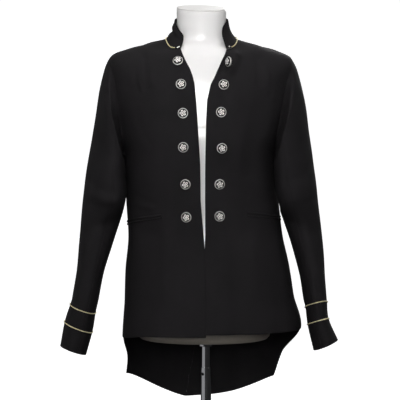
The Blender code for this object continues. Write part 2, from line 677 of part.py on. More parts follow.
def collar_surface(side, row, angle):
    """Return points of the stand collar's outer face: an ellipse per row."""
    row, angle = np.broadcast_arrays(np.asarray(row, float), np.asarray(angle, float))
    sine, cosine = np.sin(np.radians(angle)), np.cos(np.radians(angle))
    x = NECKLINE.centre_x + side * column(COLLAR, "half_w", row) * sine
    depth = np.where(cosine > 0, -column(COLLAR, "front_y", row), column(COLLAR, "back_y", row))
    end_z = np.where(cosine > 0, column(COLLAR, "front_z", row), column(COLLAR, "back_z", row))
    z = end_z + (column(COLLAR, "side_z", row) - end_z) * sine ** 2
    return np.stack([x, depth * np.abs(cosine), z], axis=-1)


def collar_point(row, turn):
    """Return a collar point and its outward normal, by the turn from the left end's
    angle past 180 to the right end's. The collar's rows run up and the body's run
    down, so the normal changes sign."""
    turn = np.asarray(turn, float)
    row = np.broadcast_to(np.asarray(row, float), turn.shape)
    is_left = turn <= 180.0
    angle = np.where(is_left, turn, 360.0 - turn)
    points = np.where(is_left[..., None], collar_surface(LEFT, row, angle),
                      collar_surface(RIGHT, row, angle))
    normals = np.where(is_left[..., None], grid_normal(collar_surface, LEFT, row, angle),
                       grid_normal(collar_surface, RIGHT, row, angle))
    return points, -normals


def build_collar(cloth, parent):
    """Build the stand collar, whose base stands on the neckline."""
    rows = np.linspace(0, len(COLLAR) - 1, COLLAR_ROWS + 1)[:, None]
    share = np.linspace(0, 1, COLLAR_COLUMNS + 1)[None, :]
    height = rows / (len(COLLAR) - 1)
    left = COLLAR_ENDS[LEFT][0] + (COLLAR_ENDS[LEFT][1] - COLLAR_ENDS[LEFT][0]) * height
    right = COLLAR_ENDS[RIGHT][0] + (COLLAR_ENDS[RIGHT][1] - COLLAR_ENDS[RIGHT][0]) * height
    turn = left + (360.0 - right - left) * share
    outer, normal = collar_point(rows, turn)
    points, faces = slab(outer, outer - COLLAR_CLOTH * normal)
    add_solid("collar", points, faces, cloth, parent)


def build_neck_piping(gold, parent):
    """Build the cord that lies in the crease between the collar and the coat."""
    turn = np.linspace(PIPING_ENDS[LEFT], 360.0 - PIPING_ENDS[RIGHT], COLLAR_COLUMNS + 1)
    crease, collar_normal = collar_point(0.0, turn)
    angle = np.where(turn <= 180.0, turn, 360.0 - turn)
    row = np.zeros_like(turn)
    coat_normal = np.where((turn <= 180.0)[:, None], body_normal(LEFT, row, angle),
                           body_normal(RIGHT, row, angle))
    both = coat_normal + collar_normal
    lean = 1 + (coat_normal * collar_normal).sum(1, keepdims=True)
    path = crease + (PIPING_RADIUS + NECK_PIPING_GAP) * both / lean
    points, faces = tube(path, PIPING_RADIUS, PIPING_SIDES, closed=False)
    add_solid("neck_piping", points, faces, gold, parent)


def button_mesh():
    """Return a turned metal button whose face carries a plain rosette of lobes."""
    turn = np.linspace(0, 2 * np.pi, BUTTON_SEGMENTS, endpoint=False)
    lobes = np.cos(turn * BUTTON_SEGMENTS / 2)
    rings = []
    for step in BUTTON_PROFILE:
        radius = BUTTON_RADIUS * step.radius
        height = BUTTON_RADIUS * step.height + RELIEF * step.relief * lobes
        rings.append(np.stack([radius * np.cos(turn), radius * np.sin(turn), height], axis=1))
    points, faces = loft(rings)
    points[-1, 2] = BUTTON_RADIUS * BUTTON_CROWN
    return points, faces


def stand_on_front(side, x, z, lift):
    """Return the frame that lays a flat piece on the front at x and z."""
    row, angle = place_on_front(side, x, z)
    normal = Vector(body_normal(side, row, angle))
    spot = Vector(body(side, row, angle)) + normal * lift
    turn = Vector((0, 0, 1)).rotation_difference(normal).to_matrix().to_4x4()
    return Matrix.Translation(spot) @ turn


def build_buttons(silver, parent):
    """Build the two rows of six buttons."""
    points, faces = button_mesh()
    for side in (RIGHT, LEFT):
        name = side_name(side)
        for number, row in enumerate(BUTTONS, start=1):
            x, z = getattr(row, name + "_x"), getattr(row, name + "_z")
            button = add_solid(f"button_{name}_{number}", points, faces, silver, parent)
            button.matrix_local = stand_on_front(side, x, z, BUTTON_SEAT)


def build_welts(cloth, parent):
    """Build the pocket welts from the front's points, moved out."""
    share = np.linspace(0, 1, WELT_STEPS + 1)
    for welt in POCKETS:
        first_angle = place_on_front(welt.side, welt.front_x, welt.front_z)[1]
        angles = first_angle + (welt.side_angle - first_angle) * share
        heights = welt.front_z + (welt.side_z - welt.front_z) * share
        grid_rows = np.array([
            [row_at_height(welt.side, lambda _row, held=angle: held, height + offset)
             for angle, height in zip(angles, heights)]
            for offset in (WELT_HALF_HEIGHT, 0.0, -WELT_HALF_HEIGHT)])
        grid_angles = np.repeat(angles[None, :], len(grid_rows), axis=0)
        points = body(welt.side, grid_rows, grid_angles)
        normal = body_normal(welt.side, grid_rows, grid_angles)
        under = points + SEAM_GAP * normal
        over = points + (SEAM_GAP + WELT_THICKNESS) * normal
        solid, faces = slab(over, under)
        add_solid(welt.name, solid, faces, cloth, parent)


def build_hook_and_eye(silver, parent):
    """Build the small wire eye and hook at the collar's two ends."""
    turn = np.linspace(0, 2 * np.pi, LOOP_STEPS, endpoint=False)
    for loop in LOOPS:
        place = loop.angle if loop.side == LEFT else 360.0 - loop.angle
        centre, normal = collar_point(np.array([LOOP_HEIGHT]), np.array([place]))
        normal = normal[0]
        level = np.cross((0, 0, 1), normal)
        level /= np.linalg.norm(level)
        upright = np.cross(normal, level)
        lean = np.radians(loop.lean)
        across = np.cos(lean) * level + np.sin(lean) * upright
        up = np.cos(lean) * upright - np.sin(lean) * level
        path = (centre[0] + LOOP_LIFT * normal
                + loop.half_length * np.cos(turn)[:, None] * across
                + loop.half_width * np.sin(turn)[:, None] * up)
        points, faces = tube(path, LOOP_WIRE, PIPING_SIDES, closed=True)
        add_solid(loop.name, points, faces, silver, parent)


def form_outline(centre_x, half_w, front_y, back_y, square):
    """Return X and Y of a form ring, from the front round by the wearer's left."""
    turn = np.linspace(0, 2 * np.pi, FORM_SEGMENTS, endpoint=False)
    sine, cosine = np.sin(turn), np.cos(turn)
    power = 2.0 / square
    x = centre_x + half_w * np.sign(sine) * np.abs(sine) ** power
    y = np.where(cosine > 0, -front_y, back_y) * np.abs(cosine) ** power
    return x, y, np.abs(sine)


def neck_ring(scale, lift, z):
    """Return a neck ring whose plane leans forward as the neck's top does."""
    x, y, _sine = form_outline(NECK_X, NECK_W * scale, NECK_Y * scale, NECK_Y * scale, 2.0)
    height = z + lift + NECK_TILT * y + NECK_ROLL * (x - NECK_X)
    return np.stack([x, y, height], axis=1)


def seat_ring(row):
    """Return the form's ring under a row of the coat's shoulders, which it
    carries along their ridge and clears in front and behind."""
    turn = np.linspace(0, 360, FORM_SEGMENTS, endpoint=False)
    ring = []
    for angle in turn:
        side = LEFT if angle <= 180 else RIGHT
        fold = np.float64(min(angle, 360 - angle))
        drop = SEAT_DROP + SEAT_EASE * abs(math.cos(math.radians(fold)))
        normal = grid_normal(bare_body, side, np.float64(row), fold)
        ring.append(bare_body(side, row, fold) - drop * normal)
    return np.array(ring)


def build_form(plastic, cap_finish, parent):
    """Build the limbless torso and the flat cap on its neck."""
    rings = [neck_ring(1.0, 0.0, NECK_TOP_Z), neck_ring(1.0, 0.0, (NECK_TOP_Z + NECK_LOW_Z) / 2),
             neck_ring(NECK_FLARE, 0.0, NECK_LOW_Z)]
    rings += [seat_ring(row) for row in SEAT_ROWS]
    for row in FORM:
        x, y, sine = form_outline(row.centre_x, row.half_w, row.front_y, row.back_y, row.square)
        end_z = np.where(y < 0, row.front_z, row.back_z)
        rings.append(np.stack([x, y, end_z + (row.side_z - end_z) * sine ** 2], axis=1))
    add_solid("form_torso", *loft(rings), plastic, parent)
    cap = [neck_ring(width, CAP_THICKNESS * rise, NECK_TOP_Z) for width, rise in CAP_PROFILE]
    add_solid("form_neck_cap", *loft(cap), cap_finish, parent)


def hole_cutter(parent):
    """Return the round cutter of the height-setting hole in both tubes."""
    bpy.ops.mesh.primitive_cylinder_add(vertices=HOLE_SIDES, radius=HOLE_RADIUS, depth=2 * OUTER_RADIUS)
    cutter = bpy.context.object
    cutter.name = "hole_cutter"
    turn = math.radians(-HOLE_TURN)
    cutter.rotation_euler = (math.radians(90), 0, turn)
    cutter.location = (OUTER_RADIUS * math.sin(turn), -OUTER_RADIUS * math.cos(turn), HOLE_Z)
    cutter.hide_render = True
    cutter.display_type = "WIRE"
    cutter.parent = parent
    return cutter


def pierce(tube_object, cutter):
    """Cut the height-setting hole in a tube."""
    modifier = tube_object.modifiers.new("height hole", "BOOLEAN")
    modifier.operation = "DIFFERENCE"
    modifier.solver = "EXACT"
    modifier.object = cutter


def build_stand(chrome, stand_body, form_body):
    """Build the base, the two tubes and the flange under the form."""
    cutter = hole_cutter(stand_body)
    outer = turned([(OUTER_RADIUS, OUTER_FOOT_Z), (OUTER_RADIUS, OUTER_TOP_Z),
                    (OUTER_BORE, OUTER_TOP_Z), (OUTER_BORE, OUTER_FOOT_Z)], TUBE_SIDES, True)
    pierce(add_solid("pole_outer", *outer, chrome, stand_body), cutter)
    inner = turned([(INNER_RADIUS, INNER_FOOT_Z), (INNER_RADIUS, INNER_TOP_Z),
                    (INNER_BORE, INNER_TOP_Z), (INNER_BORE, INNER_FOOT_Z)], TUBE_SIDES, True)
    pierce(add_solid("pole_inner", *inner, chrome, form_body), cutter)
    under = FORM[-1].side_z - SEAM_GAP
    flange = [(OUTER_BORE, under), (FLANGE_RADIUS, under), (FLANGE_RADIUS, under - FLANGE_DISC),
              (BOSS_RADIUS, under - FLANGE_DISC), (BOSS_RADIUS, under - FLANGE_DISC - BOSS_DROP),
              (OUTER_BORE, under - FLANGE_DISC - BOSS_DROP)]
    add_solid("form_flange", *turned(flange, TUBE_SIDES, True), chrome, form_body)
    base = [(BASE_FOOT_RADIUS, 0.0), (BASE_RADIUS, BASE_LIP_Z), (BASE_FOOT_RADIUS, BASE_EDGE),
            (SOCKET_FLARE_RADIUS, BASE_MIDDLE), (SOCKET_RADIUS, SOCKET_FLARE_Z),
            (SOCKET_RADIUS, SOCKET_TOP_Z), (SOCKET_BORE, SOCKET_TOP_Z), (SOCKET_BORE, SOCKET_FLOOR_Z)]
    add_solid("stand_base", *turned(base, BASE_SIDES), chrome, stand_body)


def clear_scene():
    """Remove the objects that the scene starts with."""
    for item in list(bpy.data.objects):
        bpy.data.objects.remove(item, do_unlink=True)


def add_empty(name):
    """Add an empty on the pole's axis that carries one body."""
    result = bpy.data.objects.new(name, None)
    bpy.context.collection.objects.link(result)
    return result


def main():
    """Build the whole part."""
    clear_scene()
    stand_body = add_empty("stand")
    form_body = add_empty("form")
    cloth = material("black suiting", (.011, .011, .013), .85)
    gold = material("gold piping", (.60, .42, .13), .45)
    silver = material("embossed silver metal", (.62, .62, .62), .3, 1.0)
    plastic = material("gloss white moulded form", (.80, .80, .80), .2)
    cap_finish = material("white neck cap", (.70, .70, .70), .3)
    chrome = material("chrome-plated steel", (.80, .80, .82), .12, 1.0)
    build_fronts(cloth, form_body)
    build_backs(cloth, form_body)
    build_sleeves(cloth, form_body)
    build_collar(cloth, form_body)
    build_neck_piping(gold, form_body)
    build_cuff_piping(gold, form_body)
    build_buttons(silver, form_body)
    build_welts(cloth, form_body)
    build_hook_and_eye(silver, form_body)
    build_form(plastic, cap_finish, form_body)
    build_stand(chrome, stand_body, form_body)


main()
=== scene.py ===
"""Looks of a black military tailcoat, worn open on a limbless dress form.

Units are metres. +X is the wearer's left, the front faces -Y, +Z is up, and the
origin is the centre of the base's underside. Cloth pieces are thin shells worked
out on the same surface as the solids they stand for: a table row is one ring of
the coat, and an angle runs round it from the front, 0, to the centre back, 180.
"""
import logging
import math
from dataclasses import dataclass, field
from enum import Enum
from typing import Callable, NamedTuple

import bmesh
import bpy
import numpy as np
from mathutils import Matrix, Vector

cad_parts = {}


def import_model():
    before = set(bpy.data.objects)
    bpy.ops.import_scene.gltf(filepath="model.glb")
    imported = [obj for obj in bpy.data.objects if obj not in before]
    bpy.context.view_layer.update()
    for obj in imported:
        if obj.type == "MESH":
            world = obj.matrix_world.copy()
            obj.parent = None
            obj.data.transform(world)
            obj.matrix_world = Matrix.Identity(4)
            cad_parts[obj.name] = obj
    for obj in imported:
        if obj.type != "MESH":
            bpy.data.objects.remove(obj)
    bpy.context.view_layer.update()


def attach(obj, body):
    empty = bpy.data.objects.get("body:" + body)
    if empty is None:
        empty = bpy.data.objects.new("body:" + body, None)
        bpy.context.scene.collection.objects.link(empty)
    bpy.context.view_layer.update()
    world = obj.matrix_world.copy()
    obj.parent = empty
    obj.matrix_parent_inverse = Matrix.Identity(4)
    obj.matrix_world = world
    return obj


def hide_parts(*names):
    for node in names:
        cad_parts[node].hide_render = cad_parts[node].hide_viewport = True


LOG = logging.getLogger("tailcoat")
Array = np.ndarray
Piece = bpy.types.Object
Material = bpy.types.Material
Node = bpy.types.Node
NodeTree = bpy.types.NodeTree
NodeSocket = bpy.types.NodeSocket

CLOTH = 0.0016
COLLAR_CLOTH = 0.0020
STEP = 1e-4
ANGLE_STEP = 0.018
OUT_OF_FRONT = np.array([0.0, -1.0, 0.0])
RIM_STEPS = 3
SHARP_DEGREES = 40.0
CORD_TAPER = 0.0012
CORD_TIP = 0.02
CORD_UV_RADIUS = 0.001
HALF_TURN = 180.0
FULL_TURN = 360.0


class Side(Enum):
    """The wearer's sides, by the sign of X."""

    RIGHT = -1
    LEFT = 1

    @property
    def word(self) -> str:
        """The side's name as node names have it."""
        return self.name.lower()


class Face(Enum):
    """The half of the coat that a fold lies on, by the sign of Y."""

    FRONT = -1
    BACK = 1


class Slot(Enum):
    """The record's material slots."""

    SUITING = "suiting"
    GOLD = "gold_piping"
    BUTTON = "button_metal"
    SHELL = "form_shell"
    CAP = "form_cap"
    CHROME = "chrome_steel"


class Ring(NamedTuple):
    """One ring of the coat's body, with the heights it has at its ends and sides."""

    name: str
    centre_x: float
    right_w: float
    left_w: float
    right_z: float
    left_z: float
    front_y: float
    right_front_z: float
    left_front_z: float
    back_y: float
    back_z: float
    square: float
    rise: float


class Edge(NamedTuple):
    """Where the two front edges run, by height."""

    z: float
    right_x: float
    left_x: float


class Fold(NamedTuple):
    """A soft trough (minus) or ridge (plus) from one point to another, seen from
    its face. bow pushes its middle sideways."""

    face: Face
    x0: float
    z0: float
    x1: float
    z1: float
    width: float
    depth: float
    bow: float = 0.0


def folds(face: Face, *rows: tuple) -> list[Fold]:
    """Folds of one face, each from its other values."""
    return [Fold(face, *row) for row in rows]


class ArmRing(NamedTuple):
    """One ring of a sleeve: outer and inner point from the front, half its depth,
    where its middle lies and how much its front is raised."""

    name: str
    outer_x: float
    outer_z: float
    inner_x: float
    inner_z: float
    half_depth: float
    centre_y: float
    front_rise: float = 0.0


class Stand(NamedTuple):
    """One ring of the stand collar."""

    name: str
    half_w: float
    side_z: float
    front_y: float
    front_z: float
    back_y: float
    back_z: float


class FormRing(NamedTuple):
    """One ring of the dress form below the shoulders."""

    name: str
    centre_x: float
    half_w: float
    side_z: float
    front_y: float
    front_z: float
    back_y: float
    back_z: float
    square: float


def spline(values: Array, position: Array) -> Array:
    """Catmull-Rom curve: each value is a cubic of the four table rows round it.

    Args:
        values: the table's rows, first axis along the table.
        position: fractional row numbers.

    Returns:
        The curve's values at those rows.
    """
    values = np.asarray(values, float)
    position = np.asarray(position, float)
    padded = np.concatenate(([2 * values[0] - values[1]], values, [2 * values[-1] - values[-2]]))
    row = np.clip(np.floor(position).astype(int), 0, len(values) - 2)
    t = position - row
    t = t.reshape(t.shape + (1,) * (values.ndim - 1))
    before, first, second, after = (padded[row + k] for k in range(4))
    return 0.5 * (2 * first + (second - before) * t
                  + (2 * before - 5 * first + 4 * second - after) * t ** 2
                  + (3 * first - before - 3 * second + after) * t ** 3)


def column(table: list, name: str, position: Array) -> Array:
    """One named column of a table as a smooth value along its rows."""
    return spline([getattr(row, name) for row in table], position)


def smooth(value: Array, low: float, high: float) -> Array:
    """Soft step: 0 up to low, 1 from high, and 3t^2 - 2t^3 between."""
    t = np.clip((np.asarray(value, float) - low) / (high - low), 0.0, 1.0)
    return t * t * (3 - 2 * t)


def unit(vectors: Array) -> Array:
    """Vectors along the last axis at length 1."""
    return vectors / np.maximum(np.linalg.norm(vectors, axis=-1, keepdims=True), 1e-12)


def lengths_along(path: Array) -> Array:
    """Length along a path from its start to each of its points."""
    return np.concatenate([[0], np.cumsum(np.linalg.norm(np.diff(path, axis=0), axis=1))])


def end_taper(along: Array, reach: float, least: float) -> Array:
    """Share of the full thickness: a quarter ellipse over the reach at each end.

    Args:
        along: lengths at even steps from one end to the other.
        reach: length that each end tapers over.
        least: square of the share that is left at the very end.

    Returns:
        The share at each length.
    """
    inside = np.minimum(along, along[::-1]) / reach
    return np.sqrt(np.clip(1 - (1 - inside).clip(0, 1) ** 2, least, 1))


def hump(value: Array, middle: float, half: float) -> Array:
    """Half a cosine wave from 0 up to 1 at the middle and back to 0."""
    return 0.5 + 0.5 * np.cos(np.pi * np.clip((np.asarray(value) - middle) / half, -1, 1))


def fold_push(folds: list, points: Array, facing_depth: float = 0.03) -> Array:
    """Depth of all folds: a bell of the distance to each fold's bowed line.

    Args:
        folds: the folds, placed by X and Z.
        points: the surface's points.
        facing_depth: how far from the middle plane a fold reaches its full depth.

    Returns:
        How far each point is pushed out, in metres.
    """
    total = np.zeros(points.shape[:-1])
    for fold in folds:
        start = np.array([fold.x0, fold.z0])
        line = np.array([fold.x1, fold.z1]) - start
        length = np.hypot(*line)
        offset = points[..., [0, 2]] - start
        share = offset @ line / length ** 2
        across = (offset[..., 0] * line[1] - offset[..., 1] * line[0]) / length
        inside = np.clip(share, 0, 1)
        across = across - fold.bow * 4 * inside * (1 - inside)
        beyond = (share - inside) * length
        distance = np.hypot(across, beyond)
        facing = smooth(points[..., 1] * fold.face.value, 0.0, facing_depth)
        total += fold.depth * np.exp(-(distance / fold.width) ** 2) * facing
    return total


@dataclass(frozen=True)
class Ripple:
    """The slight unevenness of hanging cloth, as a sum of slow waves.

    The waves run mostly across the cloth, so that the troughs hang down."""

    seed: int = 11
    height: float = 0.0007
    count: int = 14
    shortest: float = 0.035
    longest: float = 0.150

    def push(self, across: Array, down: Array) -> Array:
        """Height of the waves: the mean of sines with seeded lengths and turns."""
        draw = np.random.default_rng(self.seed)
        total = np.zeros(np.broadcast(across, down).shape)
        for _ in range(self.count):
            length = draw.uniform(self.shortest, self.longest)
            lean = draw.normal(0.0, 0.30)
            phase = draw.uniform(0, 2 * math.pi)
            reach = 2 * math.pi / length
            total += np.sin(reach * (across * math.cos(lean) + down * math.sin(lean)) + phase)
        return self.height * total / math.sqrt(self.count)


@dataclass
class CoatBody:
    """The surface that all panels of the coat's body share."""

    rings: list = field(default_factory=lambda: [
        Ring("neckline", -.01, .0765, .0765, 1.48, 1.48, .078, 1.453, 1.453, .062, 1.492, 2.0, 2.0),
        Ring("mid shoulder", -.01, .14, .14, 1.464, 1.4615, .1, 1.415, 1.415, .085, 1.462, 2.2, 2.0),
        Ring("shoulder tip", -.01, .194, .194, 1.4435, 1.4395, .113, 1.378, 1.378, .098, 1.422, 2.4, 2.0),
        Ring("sleeve head", -.01, .2, .198, 1.4, 1.3975, .119, 1.343, 1.343, .105, 1.378, 2.4, 2.0),
        Ring("chest", -.01, .197, .191, 1.345, 1.343, .124, 1.303, 1.303, .108, 1.333, 2.4, 2.0),
        Ring("bust", -.01, .184, .176, 1.285, 1.285, .126, 1.262, 1.262, .108, 1.283, 2.35, 2.0),
        Ring("underarm", -.01, .168, .16, 1.235, 1.235, .124, 1.222, 1.222, .106, 1.235, 2.3, 2.0),
        Ring("under bust", -.009, .1667, .1605, 1.172, 1.172, .118, 1.165, 1.165, .101, 1.173, 2.3, 2.0),
        Ring("waist", -.008, .1653, .167, 1.115, 1.115, .114, 1.112, 1.112, .098, 1.115, 2.3, 2.0),
        Ring("high hip", -.008, .1612, .1762, 1.05, 1.05, .113, 1.05, 1.05, .104, 1.05, 2.3, 2.0),
        Ring("hip", -.01, .165, .192, .985, .987, .117, .988, .988, .114, .985, 2.3, 2.0),
        Ring("low hip", -.013, .1655, .2056, .913, .92, .124, .92, .922, .122, .915, 2.3, 2.0),
        Ring("hem", -.018, .1655, .2262, .83, .85, .13, .8475, .8525, .128, .835, 2.3, 4.0),
        Ring("mid tail", -.03, .146, .2048, .7834, .79, .131, .78, .78, .132, .755, 2.3, 1.6),
        Ring("tail end", -.046, .134, .2146, .743, .741, .131, .7, .7, .133, .672, 2.3, 1.22),
    ])
    edges: list = field(default_factory=lambda: [
        Edge(1.4624, -.0547, .0443), Edge(1.453, -.0508, .041), Edge(1.4383, -.0439, .0337),
        Edge(1.4217, -.0345, .0266), Edge(1.405, -.0283, .0183), Edge(1.3885, -.0245, .0097),
        Edge(1.3554, -.0213, .0021), Edge(1.3133, -.0181, -.0001), Edge(1.2196, -.0126, -.002),
        Edge(1.142, -.0117, -.0023), Edge(1.065, -.0053, -.0015), Edge(1.03, -.0023, -.0032),
        Edge(.928, -.0002, -.005), Edge(.84, -.0002, -.0045),
    ])
    main_folds: list = field(default_factory=lambda: [
        *folds(Face.FRONT,
            (-.133, 1.448, -.126, 1.38, .01, -.003), (.111, 1.44, .113, 1.39, .01, -.003),
            (.104, 1.325, .092, 1.195, .016, -.0035), (.064, 1.05, .066, .85, .018, -.0035),
            (.1, 1.04, .112, .85, .022, .0035), (-.082, 1.09, -.09, .85, .022, .003),
            (-.122, 1.06, -.134, .85, .018, -.003)),
        *folds(Face.BACK,
            (-.08, 1.06, -.105, .72, .022, -.004), (.06, 1.07, .075, .71, .024, -.0045),
            (-.01, 1.05, -.03, .7, .024, .004), (.11, 1.4, .1, 1.28, .016, -.003),
            (-.125, 1.4, -.118, 1.28, .016, -.003)),
    ])
    small_folds: list = field(default_factory=lambda: [
        *folds(Face.FRONT,
            (.045, 1.448, .03, 1.413, .0045, -.001), (.064, 1.444, .052, 1.415, .009, .008),
            (.0345, 1.44, .021, 1.413, .0045, .003), (-.1335, 1.444, -.1325, 1.392, .0042, -.0018),
            (-.15, 1.42, -.143, 1.372, .006, -.0014, .003), (-.118, 1.432, -.114, 1.392, .006, .0009),
            (.126, 1.428, .13, 1.392, .006, .0009), (.14, 1.412, .136, 1.366, .006, -.0013, -.003),
            (-.146, 1.33, -.12, 1.262, .009, -.0013, .006), (.136, 1.33, .122, 1.27, .009, .0014, -.004),
            (.078, 1.3, .07, 1.2, .01, .001), (-.15, 1.148, -.112, 1.132, .007, -.0014, .003),
            (-.152, 1.128, -.12, 1.122, .006, .0009), (.148, 1.15, .112, 1.14, .007, -.0012, -.003),
            (-.104, 1.06, -.096, .9, .012, -.0014, .004), (-.052, 1.0, -.05, .856, .012, -.001),
            (.034, .96, .032, .856, .01, -.0012), (.142, 1.06, .166, .87, .014, -.0018, .004),
            (.186, .96, .2, .86, .012, .0016)),
        *folds(Face.BACK,
            (-.15, 1.16, -.06, 1.13, .01, -.0018, .006), (.14, 1.158, .05, 1.128, .01, -.0016, -.006),
            (-.14, 1.128, -.08, 1.108, .008, .0012, .004), (.128, 1.124, .07, 1.106, .008, .0012, -.004),
            (-.15, 1.33, -.118, 1.262, .01, -.0016, .005), (.132, 1.332, .104, 1.266, .01, -.0015, -.005),
            (-.052, 1.448, -.06, 1.4, .008, -.001), (.036, 1.448, .046, 1.396, .008, -.001),
            (.13, 1.02, .162, .8, .016, -.0026, .004), (-.132, 1.0, -.146, .79, .014, -.002, -.004),
            (.1, .96, .122, .76, .014, .002)),
    ])
    ripple: Ripple = Ripple()
    tuck_depth: float = 0.0024
    tuck_heights: tuple = (1.052, 1.100)
    tuck_reach: tuple = (.012, .040)
    neck_dips: dict = field(default_factory=lambda: {
        Side.RIGHT: (60.0, 30.0, .0095), Side.LEFT: (64.0, 38.0, .0100)})
    dip_forward: float = 0.25
    shoulder_seam: float = 90.0
    side_seam: float = 93.0
    armhole_front: float = 28.0
    armhole_back: float = 30.0
    tail_edge: dict = field(default_factory=lambda: {
        Side.RIGHT: (93.0, 98.0, 103.0), Side.LEFT: (93.0, 104.2, 115.0)})
    tail_sag: float = 0.0120
    tail_sag_angles: tuple = (100.0, 152.0, 186.0)
    tip_row: int = 2
    underarm_row: int = 6
    hem_row: int = 12
    tail_row: int = 14
    edge_start: float = 20.0
    edge_passes: int = 12
    halvings: int = 40
    side_samples: int = 61

    def neck_dip(self, side: Side, row: Array, angle: Array) -> Array:
        """How far the neck seam hangs below its even curve on each side: a hump of
        the angle, which dies out over the first row."""
        middle, half, depth = self.neck_dips[side]
        return depth * hump(angle, middle, half) * (1 - smooth(row, 0.0, 1.0))

    def sag(self, side: Side, row: Array, angle: Array) -> Array:
        """How far the tail's lower edge sags on the wearer's left: a hump of the
        angle with two half widths, which grows in below the hem."""
        start, middle, end = self.tail_sag_angles
        turn = angle if side is Side.LEFT else FULL_TURN - angle
        half = np.where(turn < middle, middle - start, end - middle)
        return self.tail_sag * hump(turn, middle, half) * smooth(row, self.hem_row, self.tail_row)

    def bare(self, side: Side, row: Array, angle: Array) -> Array:
        """Body before folds: per row a superellipse, |x/w|^p + |y/d|^p = 1, whose
        height goes from its end to its side with the sine's power."""
        row, angle = np.broadcast_arrays(np.asarray(row, float), np.asarray(angle, float))
        signed_sine = np.sin(np.radians(angle))
        sine = np.abs(signed_sine)
        cosine = np.cos(np.radians(angle))
        power = 2.0 / column(self.rings, "square", row)
        reach = np.sign(signed_sine) * sine ** power
        width = column(self.rings, side.word + "_w", row)
        x = column(self.rings, "centre_x", row) + side.value * width * reach
        is_front = cosine > 0
        depth = np.where(is_front, -column(self.rings, "front_y", row),
                         column(self.rings, "back_y", row))
        end_z = np.where(is_front, column(self.rings, side.word + "_front_z", row),
                         column(self.rings, "back_z", row))
        climb = column(self.rings, side.word + "_z", row) - end_z
        dip = self.neck_dip(side, row, angle)
        z = end_z + climb * sine ** column(self.rings, "rise", row) - dip - self.sag(side, row, angle)
        y = depth * np.abs(cosine) ** power - self.dip_forward * dip
        return np.stack([x, y, z], axis=-1)

    def normal(self, surface: Callable, side: Side, row: Array, angle: Array) -> Array:
        """Outward unit normals: the cross product of two small steps."""
        along = surface(side, row + STEP, angle) - surface(side, row - STEP, angle)
        around = surface(side, row, angle + ANGLE_STEP) - surface(side, row, angle - ANGLE_STEP)
        return unit(side.value * np.cross(along, around))

    def tuck(self, side: Side, points: Array) -> Array:
        """How far the left front's edge lies behind the right front's."""
        if side is Side.RIGHT:
            return np.zeros(points.shape[:-1])
        lower = 1 - smooth(points[..., 2], *self.tuck_heights)
        near = 1 - smooth(points[..., 0], *self.tuck_reach)
        return -self.tuck_depth * lower * near * (points[..., 1] < 0)

    def outer(self, side: Side, row: Array, angle: Array) -> Array:
        """The coat's outer face: the bare body pushed along its normals by the
        main folds, the small folds, the ripple and the tuck."""
        row, angle = np.broadcast_arrays(np.asarray(row, float), np.asarray(angle, float))
        points = self.bare(side, row, angle)
        push = fold_push(self.main_folds + self.small_folds, points) + self.tuck(side, points)
        turned = np.sign(points[..., 1]) * 0.5
        push = push + self.ripple.push(points[..., 0] + turned, points[..., 2])
        return points + self.normal(self.bare, side, row, angle) * push[..., None]

    def outer_normal(self, side: Side, row: Array, angle: Array) -> Array:
        """Outward normals of the outer face."""
        return self.normal(self.outer, side, np.asarray(row, float), np.asarray(angle, float))

    def angle_at_x(self, side: Side, row: Array, x: Array) -> Array:
        """Angle on the front half at which a row has a given x."""
        width = column(self.rings, side.word + "_w", row)
        share = np.clip(side.value * (x - column(self.rings, "centre_x", row)) / width, -1.0, 1.0)
        sine = np.sign(share) * np.abs(share) ** (column(self.rings, "square", row) / 2)
        return np.degrees(np.arcsin(sine))

    def front_edge(self, side: Side, row: Array) -> Array:
        """Angle of a front's edge at each row, found by repeated passes."""
        heights = [edge.z for edge in reversed(self.edges)]
        places = [getattr(edge, side.word + "_x") for edge in reversed(self.edges)]
        angle = np.full(np.shape(row), self.edge_start)
        for _ in range(self.edge_passes):
            height = self.bare(side, row, angle)[..., 2]
            angle = self.angle_at_x(side, row, np.interp(height, heights, places))
        return angle

    @property
    def armhole_span(self) -> tuple[float, float]:
        """The armhole's middle row and half the number of rows that it crosses."""
        return (self.tip_row + self.underarm_row) / 2, (self.underarm_row - self.tip_row) / 2

    def armhole_open(self, row: Array) -> Array:
        """How open the armhole is at a row: a half ellipse over its rows."""
        middle, half = self.armhole_span
        return np.sqrt(1 - np.clip((np.asarray(row, float) - middle) / half, -1, 1) ** 2)

    def armhole_rows(self, steps: int) -> Array:
        """Rows that the armhole crosses, closer at its top and foot."""
        middle, half = self.armhole_span
        return middle - half * np.cos(np.linspace(0, np.pi, steps + 1))

    def outer_seam(self, side: Side, row: Array, face: Face) -> Array:
        """Angle where a panel ends: shoulder, armhole, side seam or tail edge."""
        row = np.asarray(row, float)
        turn = smooth(row, self.underarm_row, self.underarm_row + 2)
        seam = self.shoulder_seam + (self.side_seam - self.shoulder_seam) * turn
        if face is Face.FRONT:
            return seam - self.armhole_front * self.armhole_open(row)
        tail = np.interp(row, (self.hem_row, self.hem_row + 1, self.tail_row), self.tail_edge[side])
        seam = np.where(row > self.hem_row, tail, seam)
        return seam + self.armhole_back * self.armhole_open(row)

    def row_where(self, side: Side, angle_of: Callable, z: Array) -> Array:
        """Row at which the front has height z, by halving.

        Args:
            side: the wearer's side.
            angle_of: gives the angles for an array of rows.
            z: the heights looked for.

        Returns:
            One row per height.
        """
        low = np.zeros(np.shape(z))
        high = np.full(np.shape(z), float(self.hem_row))
        for _ in range(self.halvings):
            middle = (low + high) / 2
            above = self.bare(side, middle, angle_of(middle))[..., 2] > z
            low = np.where(above, middle, low)
            high = np.where(above, high, middle)
        return low

